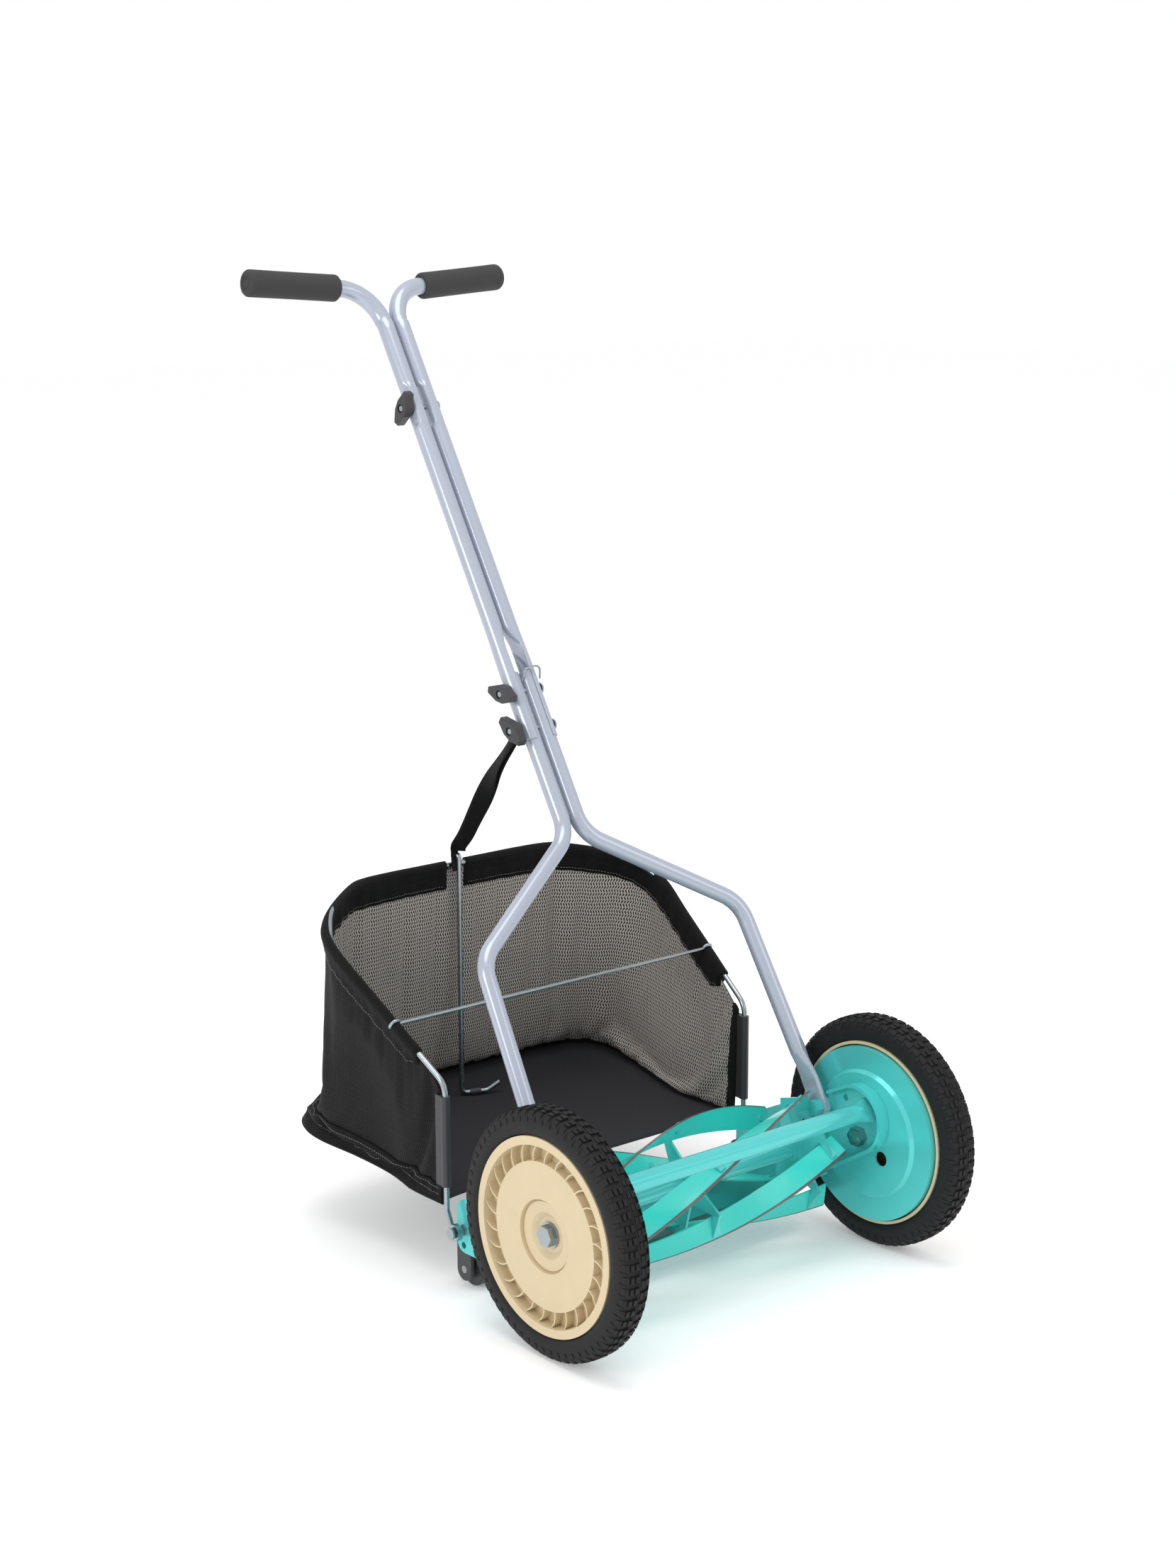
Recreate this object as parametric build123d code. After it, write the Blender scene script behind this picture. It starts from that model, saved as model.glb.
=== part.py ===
from build123d import *
import os
from math import atan2, cos, degrees, hypot, pi, radians, sin, sqrt, tan

# Push reel mower with a rear grass catcher. Millimetres, +Z up, ground at Z = 0.
# The mower cuts towards -Y and its reel lies along X. Left and right are the operator's,
# so right-hand pieces are on the -X side. Every piece is drawn with the wheel axles at
# Y = 0, and export moves it so that the origin is under the middle of the whole mower.

# ---- driving dimensions: ground drive ------------------------------------------------
WHEEL_RADIUS = 127.0
AXLE_Z = WHEEL_RADIUS
TYRE_WIDTH = 35.0
TYRE_OUTER_X = 244.0
TYRE_INNER_X = TYRE_OUTER_X - TYRE_WIDTH
RIM_RADIUS = 100.4
DISC_RADIUS = 75.0
FIN_OUTER_RADIUS = 91.6
FIN_COUNT = 28
FIN_SWEEP = radians(7)
AXLE_RADIUS = 6.0
RUNNING_CLEARANCE = 0.06

GEAR_MODULE = 2.0
RING_TEETH = 84
PINION_TEETH = 14
PRESSURE_ANGLE = radians(20)
BACKLASH = 0.3
RING_X = (214.0, 228.0)
PINION_X = (214.5, 225.8)

# ---- driving dimensions: reel and cutter ---------------------------------------------
CENTRE_DISTANCE = GEAR_MODULE * (RING_TEETH - PINION_TEETH) / 2
REEL_DROP = 26.0
REEL_Y = sqrt(CENTRE_DISTANCE**2 - REEL_DROP**2)
REEL_Z = AXLE_Z - REEL_DROP
REEL_RADIUS = 66.6
BLADE_COUNT = 5
BLADE_LENGTH = 350.0
BLADE_WIDTH = 27.0
BLADE_THICKNESS = 2.2
BLADE_RAKE = radians(35)
BLADE_TWIST = -116.6
BLADE_PHASE = 228.9
SHAFT_RADIUS = 8.0
SHAFT_STEP_X = 180.0
JOURNAL_RADIUS = 6.0
SHAFT_END_X = 227.4
SPIDER_X = (-155.0, 0.0, 155.0)
SPIDER_THICKNESS = 3.0
ARM_GAP = 1.3
ARM_HEEL = (31.0, 11.4)
ARM_TOE = (14.0, 11.0)
ARM_FOOT = (8.0, 18.0)
TAB_GAP = 0.15
TAB_SPAN = (5.0, 24.0)
TAB_THICKNESS = 2.0
SPIDER_HUB_RADIUS = 24.0
TAB_WIDTH = 8.0
RIVET_DEPTH = 14.0
KNIFE_GAP = 0.35
KNIFE_ANGLE = radians(-80)
KNIFE_DEPTH = 34.0
KNIFE_THICKNESS = 3.0

# ---- driving dimensions: chassis -----------------------------------------------------
PLATE_X = (196.0, 200.0)
PLATE_CORNERS = ((0.0, 147.0, 38.0), (181.0, 87.0, 12.5), (181.0, 54.0, 12.5), (100.0, 56.0, 13.0))
LIP_DEPTH = 10.0
LIP_WIDTH = 3.6
LIP_END_Y = 42.0
COVER_RADIUS = 95.6
TIE_BAR = (-17.0, 162.0)
TIE_BAR_RADIUS = 9.75
HANDLE_PIVOT = (52.5, 148.0)
PIVOT_RADIUS = 5.0
ROLLER_RADIUS = 20.0
ROLLER_Y = 188.0
ROLLER_HALF_LENGTH = 187.0
CATCHER_PIVOT = (183.0, 66.4)
CATCHER_PIN_RADIUS = 3.5

# ---- driving dimensions: handle ------------------------------------------------------
TUBE_RADIUS = 9.0
TUBE_WALL = 1.5
UPPER_TUBE_RADIUS = 9.6
TUBE_X = 10.5
HANDLE_SLOPE = 1.676
YOKE_TOP = (241.5, 445.9)
YOKE_CORNER = (178.6, 173.9, 353.4)
YOKE_BEND_RADIUS = 42.0
FLAT_END_X = 187.5
FLAT_THICKNESS = 6.0
FLAT_WIDTH = 25.0
GRIP_RADIUS = 15.0
GRIP_X = (57.5, 172.5)
GRIP_BEND_RADIUS = 48.0
GRIP_CORNER = (580.0, 1010.2)
GRIP_SLOPE = (0.0435, 0.0696)
SHELL_BOTTOM_Z = 541.0
LOWER_TUBE_TOP_Z = 607.0
SHELL_TOP_Z = 611.0
TUBE_ROUND_Z = 650.0
PINCH_Z = (866.0, 905.0)
PINCH_HALF_WIDTH = 7.0
PINCH_RUN_OUT = 5.0
SHELL_GAP = 0.15
SHELL_RADIUS = TUBE_RADIUS + SHELL_GAP + TUBE_WALL
KNOB_Z = {"upper": 884.5, "mid": 589.8, "low": 553.0}
KNOB_HEIGHT = 13.0
KNOB_REACH = 20.0
KNOB_TIP = 3.4
KNOB_SHOULDER = 5.5
KNOB_WAIST = 9.0
KNOB_TURN = {"upper": 118.0, "mid": 8.0, "low": 32.0}
STRAP_SPACE = 4.0
HANDLE_BOLT_RADIUS = 3.0
CLIP_RADIUS = 1.1

# ---- driving dimensions: grass catcher -----------------------------------------------
WIRE_RADIUS = 3.0
CROSS_WIRE_RADIUS = 2.0
CROSS_WIRE_Y = 271.0
BAG_WALL = 2.0
BAG_FRONT_Y = 210.5
FLOOR_Z = 95.0
RIM_Z = 360.0
FRAME_X = 210.5
FRAME_Y = 197.0
BEND_Z = 223.0
RIM_DROP = 9.0
RIM_SLOPE = tan(radians(33.5))
REAR_WIRE = (455.5, 372.0)
SLEEVE_Z = (113.0, 210.5)
ROD_Y = 448.0
ROD_FOOT_Z = FLOOR_Z + 5.5
STRAP_WIDTH = 25.0
STRAP_THICKNESS = 3.2
STRAP_FOOT = (-3.0, 446.0, 394.0)

# ---- placing -------------------------------------------------------------------------
AXLE_SHIFT_Y = -238.5
SIDES = {"left": 1, "right": -1}


# ---- helpers -------------------------------------------------------------------------
def save(name, *solids):
    """Writes one sub-part, made of separate solids, in the mower's own frame."""
    pieces = [solid for shape in solids for solid in shape.solids()]
    body = pieces[0] if len(pieces) == 1 else Compound(children=pieces)
    export_step(body.moved(Location((0, AXLE_SHIFT_Y, 0))), f"parts/{name}.step")


def on_side(shape, side):
    """Mirrors a left-hand piece to the right when side is -1."""
    return shape if side > 0 else mirror(shape, about=Plane.YZ)


def both_sides(shape):
    """A left-hand piece and its mirror image."""
    return [shape, mirror(shape, about=Plane.YZ)]


def section_plane(x):
    """A plane across the mower, drawn in (Y, Z)."""
    return Plane(origin=(x, 0, 0), x_dir=(0, 1, 0), z_dir=(1, 0, 0))


def slab(sketch, x_start, x_end):
    """A (Y, Z) sketch made solid from one X to another."""
    return extrude(section_plane(x_start) * sketch, amount=x_end - x_start)


def disc(centre, radius, x_start, x_end):
    """A cylinder along X."""
    return slab(Pos(centre[0], centre[1]) * Circle(radius), x_start, x_end)


def tube_between(start, end, radius):
    """A cylinder from one point to another."""
    direction = Vector(*end) - Vector(*start)
    plane = Plane(origin=start, z_dir=direction)
    return extrude(plane * Circle(radius), amount=direction.length)


def turned(points, centre):
    """A (X, radius) outline turned about an axis along X."""
    plane = Plane(origin=(0, centre[0], centre[1]), x_dir=(1, 0, 0), z_dir=(0, -1, 0))
    axis = Axis((0, centre[0], centre[1]), (1, 0, 0))
    return revolve(plane * make_face(Polyline(*points, close=True)), axis=axis)


def swept(points, radii, radius, bore=0.0):
    """A round bar or tube along straight runs joined by arcs."""
    path = FilletPolyline(*points, radius=radii)
    start = Plane(origin=path @ 0, z_dir=path % 0)
    bar = sweep(start * Circle(radius), path=path)
    return bar - sweep(start * Circle(bore), path=path) if bore else bar


def hexagon(centre, across_flats, x_start, x_end):
    """A hexagon head or nut along X."""
    outline = RegularPolygon(across_flats / 2, 6, major_radius=False)
    return slab(Pos(centre[0], centre[1]) * outline, x_start, x_end)


def around(centre, radius, angle):
    """A (Y, Z) point at a radius and angle from a centre."""
    return (centre[0] + radius * cos(angle), centre[1] + radius * sin(angle))


AXLE = (0.0, AXLE_Z)
REEL_AXIS = (REEL_Y, REEL_Z)
MESH_ANGLE = atan2(REEL_Z - AXLE_Z, REEL_Y)


# ---- gears ---------------------------------------------------------------------------
def gear_outline(teeth, tip_radius, root_radius, thinning, centre, angle):
    """An involute gear's (Y, Z) outline with one tooth centred on the given angle."""
    pitch_radius = GEAR_MODULE * teeth / 2
    base_radius = pitch_radius * cos(PRESSURE_ANGLE)
    half_tooth = pi / (2 * teeth) - thinning / (2 * pitch_radius)
    involute_at_pitch = tan(PRESSURE_ANGLE) - PRESSURE_ANGLE
    flank_start = max(base_radius, root_radius)
    flank = [(root_radius, 0.0)] if root_radius < base_radius else []
    for step in range(4):
        radius = flank_start + (tip_radius - flank_start) * step / 3
        pressure = tan(sqrt(max((radius / base_radius) ** 2 - 1, 0.0)))
        roll = sqrt(max((radius / base_radius) ** 2 - 1, 0.0))
        pressure = roll - atan2(roll, 1.0)
        flank.append((radius, pressure))
    points = []
    for tooth in range(teeth):
        middle = angle + 2 * pi * tooth / teeth
        rising = [(r, middle - half_tooth - involute_at_pitch + inv) for r, inv in flank]
        falling = [(r, middle + half_tooth + involute_at_pitch - inv) for r, inv in reversed(flank)]
        points += [around(centre, r, a) for r, a in rising + falling]
    return make_face(Polyline(*points, close=True))


def ring_gear():
    """The internal gear inside a wheel, with a tooth space facing the pinion."""
    pitch_radius = GEAR_MODULE * RING_TEETH / 2
    space = gear_outline(RING_TEETH, pitch_radius + 2.6, pitch_radius - 1.3, -BACKLASH, AXLE, MESH_ANGLE)
    return slab(Pos(0, AXLE_Z) * Circle(91.0) - space, *RING_X)


def pinion():
    """The pinion on a reel journal, with a ratchet recess at its inner end."""
    pitch_radius = GEAR_MODULE * PINION_TEETH / 2
    teeth = gear_outline(PINION_TEETH, pitch_radius + 1.7, pitch_radius - 2.4, BACKLASH, REEL_AXIS, MESH_ANGLE)
    gear = slab(teeth, *PINION_X)
    bore = disc(REEL_AXIS, JOURNAL_RADIUS + RUNNING_CLEARANCE, *PINION_X)
    recess = disc(REEL_AXIS, 8.2, PINION_X[0], PINION_X[0] + 6)
    for notch in range(6):
        corner = around(REEL_AXIS, 8.0, notch * pi / 3)
        recess += slab(Pos(*corner) * Circle(1.5), PINION_X[0], PINION_X[0] + 6)
    return gear - bore - recess


# ---- wheels --------------------------------------------------------------------------
def wheel_fin(index):
    """One curved fin between the wheel's disc and its outer flange."""
    start = 2 * pi * index / FIN_COUNT
    middle_radius = (DISC_RADIUS + FIN_OUTER_RADIUS) / 2
    lines = []
    for offset in (0.0, 0.02):
        inner = around(AXLE, DISC_RADIUS - 1, start + offset)
        bulge = around(AXLE, middle_radius, start + offset + 0.2 * FIN_SWEEP)
        outer = around(AXLE, FIN_OUTER_RADIUS + 1, start + offset + FIN_SWEEP)
        lines.append(ThreePointArc(inner, bulge, outer))
    ends = [Line(lines[0] @ t, lines[1] @ t) for t in (0, 1)]
    return slab(make_face(lines + ends), 230.5, 240.5)


def wheel():
    """A moulded wheel: hub, dished disc, finned ring, rim and internal gear."""
    bore = AXLE_RADIUS + RUNNING_CLEARANCE
    outline = [
        (208.5, bore), (232, bore), (232, 18), (236.5, 24), (237.5, 34.6), (235.8, 35.0),
        (235.8, 36.6), (240.5, 37.2), (240.5, DISC_RADIUS), (231, DISC_RADIUS + 1),
        (231, FIN_OUTER_RADIUS - 1), (243.5, FIN_OUTER_RADIUS), (243.5, RIM_RADIUS),
        (209.5, RIM_RADIUS), (209.5, 97.2), (RING_X[1], 97.2), (RING_X[1], 71.5),
        (237, 70.5), (237, 39), (233, 38), (233, 26), (228.5, 20), (208.5, 16),
    ]
    body = turned(outline, AXLE) + ring_gear()
    return body + [wheel_fin(index) for index in range(FIN_COUNT)]


def tyre():
    """A solid rubber tyre with rounded shoulders."""
    shoulder = WHEEL_RADIUS - 3.0
    outline = [
        (TYRE_INNER_X, RIM_RADIUS), (TYRE_INNER_X - 0.4, 108), (TYRE_INNER_X, 118),
        (TYRE_INNER_X + 2, shoulder), (TYRE_INNER_X + 6, WHEEL_RADIUS),
        (TYRE_OUTER_X - 6, WHEEL_RADIUS), (TYRE_OUTER_X - 2, shoulder),
        (TYRE_OUTER_X, 118), (TYRE_OUTER_X + 0.4, 108), (TYRE_OUTER_X, RIM_RADIUS),
    ]
    return turned(outline, AXLE)


def axle_bolt():
    """The bolt that a wheel turns on, with its head and washer outside the hub."""
    shank = disc(AXLE, AXLE_RADIUS, 186.0, 236.5)
    washer = disc(AXLE, 13.0, 232.3, 234.5)
    head = hexagon(AXLE, 19.0, 234.5, 241.0)
    return shank + washer + head


# ---- reel ----------------------------------------------------------------------------
def flat_shape(*points):
    """A flat face through (Y, Z) points."""
    return make_face(Polyline(*[(p.X, p.Y) for p in points], close=True))


def blade_frame(angle):
    """A blade's cutting edge in a section, with the ways down its width and off its back."""
    out = Vector(cos(angle), sin(angle))
    along = Vector(-sin(angle), cos(angle))
    inwards = out * -cos(BLADE_RAKE) - along * sin(BLADE_RAKE)
    across = out * -sin(BLADE_RAKE) + along * cos(BLADE_RAKE)
    return Vector(*REEL_AXIS) + out * REEL_RADIUS, inwards, across


def blade_section(angle):
    """A blade's (Y, Z) section, with its cutting edge at the given angle."""
    edge, inwards, across = blade_frame(angle)
    heel = edge - across * BLADE_THICKNESS + inwards * BLADE_THICKNESS * tan(BLADE_RAKE)
    root = edge + inwards * BLADE_WIDTH
    return flat_shape(edge, root, root - across * BLADE_THICKNESS, heel)


def blade_angle(index, x):
    """The direction of a blade's cutting edge at a place along the reel."""
    return radians(BLADE_PHASE - 72.0 * index + BLADE_TWIST * x / BLADE_LENGTH)


def reel_blade(index):
    """One twisted blade strip."""
    start_x = -BLADE_LENGTH / 2
    section = section_plane(start_x) * blade_section(blade_angle(index, start_x))
    centre = Vector(start_x, *REEL_AXIS)
    span = Vector(BLADE_LENGTH, 0, 0)
    return Solid.extrude_linear_with_rotation(section.faces()[0], centre, span, BLADE_TWIST)


def blade_tab(index, x):
    """The spider's tab that follows a blade's back along its twist."""
    ends = []
    for section_x in (x, x + TAB_WIDTH):
        edge, inwards, across = blade_frame(blade_angle(index, section_x))
        seat = edge - across * (BLADE_THICKNESS + TAB_GAP)
        tip, heel = seat + inwards * TAB_SPAN[0], seat + inwards * TAB_SPAN[1]
        tab = flat_shape(tip, heel, heel - across * TAB_THICKNESS, tip - across * TAB_THICKNESS)
        ends.append(section_plane(section_x) * tab)
    return loft(ends, ruled=True)


def spider_arm(index, x):
    """The outline of an arm, which runs from the hub to behind a blade."""
    edge, inwards, across = blade_frame(blade_angle(index, x))
    centre = Vector(*REEL_AXIS)
    radial = (edge - centre) / REEL_RADIUS
    tangent = Vector(-radial.Y, radial.X)
    seat = edge - across * (BLADE_THICKNESS + TAB_GAP + ARM_GAP)
    tip = seat + inwards * (TAB_SPAN[0] + 1)
    root = seat + inwards * (BLADE_WIDTH + 2)
    heel = seat + inwards * ARM_HEEL[0] - across * ARM_HEEL[1]
    toe = centre + radial * ARM_TOE[0] + tangent * ARM_TOE[1]
    foot = centre + radial * ARM_FOOT[0] - tangent * ARM_FOOT[1]
    return flat_shape(tip, root, toe, foot, heel)


def reel_spider(x):
    """A five-armed blade carrier with a hub on the shaft."""
    face = Pos(*REEL_AXIS) * Circle(SPIDER_HUB_RADIUS)
    for index in range(BLADE_COUNT):
        face += spider_arm(index, x)
    spider = slab(face, x, x + SPIDER_THICKNESS)
    for index in range(BLADE_COUNT):
        spider += blade_tab(index, x)
    spider += disc(REEL_AXIS, 12.0, x - 4, x + SPIDER_THICKNESS + 4)
    return spider - disc(REEL_AXIS, SHAFT_RADIUS, x - 5, x + SPIDER_THICKNESS + 5)


def rivet_spot(index, x):
    """The place of a rivet on a blade's face at an X, with the way down the blade's width."""
    edge, inwards, across = blade_frame(blade_angle(index, x))
    spot = edge + inwards * RIVET_DEPTH + across * TAB_GAP
    return Vector(x, spot.X, spot.Y), Vector(0, inwards.X, inwards.Y)


def blade_rivets():
    """Rivet heads, square to the blades' faces, where the spiders' tabs hold them."""
    heads = []
    for x in SPIDER_X:
        for index in range(BLADE_COUNT):
            middle = x + TAB_WIDTH / 2
            spot, inwards = rivet_spot(index, middle)
            along = rivet_spot(index, middle + 1.0)[0] - rivet_spot(index, middle - 1.0)[0]
            plane = Plane(origin=tuple(spot), z_dir=tuple(inwards.cross(along)))
            heads.append(extrude(plane * Circle(3.5), amount=1.8))
    return heads


def reel_shaft():
    """The stepped shaft, with a slot for a drive key near each end."""
    shaft = disc(REEL_AXIS, SHAFT_RADIUS, -SHAFT_STEP_X, SHAFT_STEP_X)
    shaft += disc(REEL_AXIS, JOURNAL_RADIUS, -SHAFT_END_X, SHAFT_END_X)
    for slot in both_sides(drive_key(0.0, 0.05)):
        shaft -= slot
    return shaft


def drive_key(margin, play):
    """The sliding key that a pinion's ratchet drives."""
    outline = Pos(*REEL_AXIS) * Rectangle(13.4 + 2 * margin, 3.0 + 2 * play)
    return slab(outline, PINION_X[0] + 0.5, PINION_X[0] + 5.5)


def shaft_clip():
    """The ring that keeps a pinion on its journal."""
    ring = disc(REEL_AXIS, 9.0, PINION_X[1] + 0.3, PINION_X[1] + 1.3)
    return ring - disc(REEL_AXIS, JOURNAL_RADIUS, PINION_X[1], PINION_X[1] + 2)


# ---- chassis -------------------------------------------------------------------------
def plate_outline(inset=0.0):
    """A side plate's (Y, Z) outline: straight edges round four circles."""
    rings = [Pos(y, z) * Circle(r - inset) for y, z, r in PLATE_CORNERS]
    edges = [edge for ring in rings for edge in ring.edges()]
    return make_hull(edges)


def side_plate():
    """A stamped side plate with a lip round its nose."""
    lip_zone = slab(Pos(LIP_END_Y - 100, 130) * Rectangle(200, 200), PLATE_X[0] - LIP_DEPTH, PLATE_X[0])
    lip = slab(plate_outline() - plate_outline(LIP_WIDTH), PLATE_X[0] - LIP_DEPTH, PLATE_X[0]) & lip_zone
    plate = slab(plate_outline(), *PLATE_X) + lip
    holes = ((AXLE, AXLE_RADIUS), (REEL_AXIS, 15.0), (HANDLE_PIVOT, PIVOT_RADIUS))
    holes += ((CATCHER_PIVOT, CATCHER_PIN_RADIUS), ((183.0, 49.5), 3.6), ((22.0, 164.0), 3.6))
    for centre, radius in holes:
        plate -= disc(centre, radius, PLATE_X[0] - 1, PLATE_X[1] + 1)
    return plate


def gear_cover():
    """The pressed disc that closes the open side of a wheel."""
    outline = [
        (200.2, 9.0), (200.2, 68.0), (204.6, 71.0), (204.6, COVER_RADIUS), (211.0, COVER_RADIUS),
        (211.0, COVER_RADIUS - 1.8), (206.4, COVER_RADIUS - 1.8), (206.4, 70.0), (202.0, 67.0), (202.0, 9.0),
    ]
    cover = turned(outline, AXLE)
    for centre, radius in ((REEL_AXIS, 12.5), ((-27.6, 107.0), 8.0)):
        cover -= disc(centre, radius, 199.0, 212.0)
    return cover


def bearing_bracket():
    """The pressed bracket and cup that carry one end of the reel."""
    cup = disc(REEL_AXIS, 20.0, 184.0, PLATE_X[0]) + disc(REEL_AXIS, 26.0, PLATE_X[0] - 2, PLATE_X[0])
    bridge = slab(Pos(*REEL_AXIS) * Rectangle(34.0, 64.0), 184.0, 187.0)
    for end in (-1, 1):
        leg = Pos(REEL_Y, REEL_Z + end * 30.5) * Rectangle(34.0, 3.0)
        bridge += slab(leg, 187.0, PLATE_X[0])
        bridge -= disc((REEL_Y + 8.0, REEL_Z + end * 25.0), 3.2, 183.0, 188.0)
    return cup + bridge - disc(REEL_AXIS, 10.0, 183.0, PLATE_X[0] + 1)


def bearing_bush():
    """The bronze bush that a reel journal runs in."""
    bush = disc(REEL_AXIS, 10.0, 185.0, PLATE_X[0]) + disc(REEL_AXIS, 11.8, PLATE_X[0], 204.0)
    return bush - disc(REEL_AXIS, JOURNAL_RADIUS + RUNNING_CLEARANCE, 184.0, 205.0)


def tie_bar():
    """The front tie bar, with its ends pressed flat against the side plates."""
    bar = disc(TIE_BAR, TIE_BAR_RADIUS, -170.0, 170.0)
    flat = Pos(*TIE_BAR) * Rot(0, 0, 52) * SlotOverall(28.0, 9.0)
    end = loft([section_plane(170.0) * Pos(*TIE_BAR) * Circle(TIE_BAR_RADIUS), section_plane(190.0) * flat])
    end += slab(flat, 190.0, PLATE_X[0])
    return bar + both_sides(end)


def tie_bar_rivets():
    """Rivet heads that hold the tie bar's flattened ends."""
    heads = []
    for offset in (-8.0, 8.0):
        centre = (TIE_BAR[0] + offset * cos(radians(52)), TIE_BAR[1] + offset * sin(radians(52)))
        heads += both_sides(disc(centre, 3.0, PLATE_X[1], PLATE_X[1] + 0.2))
    return heads


def bed_knife():
    """The fixed steel blade that the reel shears against."""
    edge = around(REEL_AXIS, REEL_RADIUS + KNIFE_GAP, KNIFE_ANGLE)
    low = edge[1] - KNIFE_THICKNESS
    outline = [edge, (edge[0] + KNIFE_DEPTH, edge[1]), (edge[0] + KNIFE_DEPTH, low), (edge[0] + 1.5, low)]
    return slab(make_face(Polyline(*outline, close=True)), -178.0, 178.0)


def cutter_bar():
    """The channel behind the reel that carries the bed knife."""
    knife_edge = around(REEL_AXIS, REEL_RADIUS + KNIFE_GAP, KNIFE_ANGLE)
    top = knife_edge[1] - KNIFE_THICKNESS
    front = knife_edge[0] + 8.0
    heel_y = knife_edge[0] + KNIFE_DEPTH + 5.0
    outline = [(front, top), (heel_y, top), (heel_y + 18, 64.0), (heel_y + 22, 62.0), (heel_y + 4, top - 4), (front, top - 4)]
    bar = slab(make_face(Polyline(*outline, close=True)), -190.0, 190.0)
    bar += disc((heel_y + 20.0, 66.0), 5.5, -190.0, 190.0)
    lug = slab(Pos(heel_y + 10.0, 50.0) * RectangleRounded(52.0, 44.0, 6.0), 190.0, PLATE_X[0])
    return bar + both_sides(lug)


def cutter_bar_fasteners():
    """The knife's countersunk screws and the bolts through the side plates."""
    knife_edge = around(REEL_AXIS, REEL_RADIUS + KNIFE_GAP, KNIFE_ANGLE)
    parts = []
    for x in (-150.0, -75.0, 0.0, 75.0, 150.0):
        spot = (x, knife_edge[0] + 20.0, knife_edge[1] - KNIFE_THICKNESS - 4.0)
        parts.append(tube_between(spot, (x, spot[1], spot[2] - 2.4), 4.5))
    for centre in ((112.0, 54.0), (144.0, 54.0)):
        parts += both_sides(hexagon(centre, 10.0, PLATE_X[1], PLATE_X[1] + 5.0))
    return parts


def handle_bolt():
    """A shoulder bolt that the handle swings on, screwed into the side plate."""
    shank = disc(HANDLE_PIVOT, PIVOT_RADIUS, 183.0, PLATE_X[1])
    return shank + disc(HANDLE_PIVOT, 9.0, 182.6, 184.2) + hexagon(HANDLE_PIVOT, 15.0, 176.0, 182.6)


def handle_spacer():
    """The sleeve between the handle's flat end and the side plate."""
    sleeve = disc(HANDLE_PIVOT, 9.0, 190.8, PLATE_X[0])
    return sleeve - disc(HANDLE_PIVOT, PIVOT_RADIUS, 190.0, PLATE_X[0])


def roller_bracket():
    """A steel strap that sets the roller's height."""
    outline = Pos(ROLLER_Y, 39.0) * Rot(0, 0, 90) * SlotOverall(62.0, 23.0)
    strap = slab(outline, 192.0, PLATE_X[0])
    strap -= disc((ROLLER_Y, ROLLER_RADIUS), 4.0, 191.0, 197.0)
    return strap


def rear_roller():
    """The roller that carries the back of the mower."""
    centre = (ROLLER_Y, ROLLER_RADIUS)
    barrel = disc(centre, ROLLER_RADIUS, -ROLLER_HALF_LENGTH, ROLLER_HALF_LENGTH)
    barrel = chamfer(barrel.edges().filter_by(GeomType.CIRCLE), 2.0)
    return barrel - disc(centre, 4.0 + RUNNING_CLEARANCE, -190.0, 190.0)


def catcher_pin():
    """The headed pin that a side of the catcher hooks onto."""
    pin = disc(CATCHER_PIVOT, CATCHER_PIN_RADIUS, PLATE_X[0], 215.5)
    return pin + disc(CATCHER_PIVOT, 6.0, 215.5, 217.5) + disc(CATCHER_PIVOT, 6.0, PLATE_X[1], 202.5)


# ---- handle --------------------------------------------------------------------------
def on_handle(z, x=0.0):
    """A point on the handle's straight centre line at a height."""
    return (x, YOKE_TOP[0] + (z - YOKE_TOP[1]) / HANDLE_SLOPE, z)


HANDLE_DIRECTION = Vector(0, 1, HANDLE_SLOPE).normalized()


def handle_plane(z, x):
    """A plane square to the handle's straight part, with its x axis along X."""
    return Plane(origin=on_handle(z, x), x_dir=(1, 0, 0), z_dir=HANDLE_DIRECTION)


def lower_tube():
    """The lower handle tube: straight, two bends, and a flattened end with its hole."""
    pivot = Vector(FLAT_END_X, *HANDLE_PIVOT)
    corner = Vector(*YOKE_CORNER)
    direction = (pivot - corner).normalized()
    round_end = pivot - direction * 62.0
    points = [on_handle(LOWER_TUBE_TOP_Z, TUBE_X), (TUBE_X, *YOKE_TOP), YOKE_CORNER, tuple(round_end)]
    tube = swept(points, YOKE_BEND_RADIUS, TUBE_RADIUS, TUBE_RADIUS - TUBE_WALL)
    normal = Vector(1, 0, 0)
    width_direction = direction.cross(normal).normalized()
    round_plane = Plane(origin=tuple(round_end), x_dir=tuple(width_direction), z_dir=tuple(direction))
    flat_start = pivot - Vector(0, direction.Y, direction.Z).normalized() * 30.0
    along = Vector(0, direction.Y, direction.Z).normalized()
    flat_plane = Plane(origin=tuple(flat_start), x_dir=tuple(along.cross(normal)), z_dir=tuple(along))
    flat_section = RectangleRounded(FLAT_WIDTH, FLAT_THICKNESS, 2.9)
    crush = loft([round_plane * Circle(TUBE_RADIUS), flat_plane * flat_section])
    blade = extrude(flat_plane * flat_section, amount=30.0)
    tip = disc(HANDLE_PIVOT, FLAT_WIDTH / 2, FLAT_END_X - FLAT_THICKNESS / 2, FLAT_END_X + FLAT_THICKNESS / 2)
    hole = disc(HANDLE_PIVOT, PIVOT_RADIUS + RUNNING_CLEARANCE, 180.0, 195.0)
    return tube + crush + blade + tip - hole


def on_grip(x):
    """A point on the centre line of the left-hand grip."""
    reach = x - TUBE_X
    return Vector(x, GRIP_CORNER[0] + GRIP_SLOPE[0] * reach, GRIP_CORNER[1] + GRIP_SLOPE[1] * reach)


def handle_side_plane(z):
    """A plane through the left-hand tube's centre line, with x along X and y up the handle."""
    normal = Vector(1, 0, 0).cross(HANDLE_DIRECTION)
    return Plane(origin=on_handle(z, TUBE_X), x_dir=(1, 0, 0), z_dir=normal)


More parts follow.
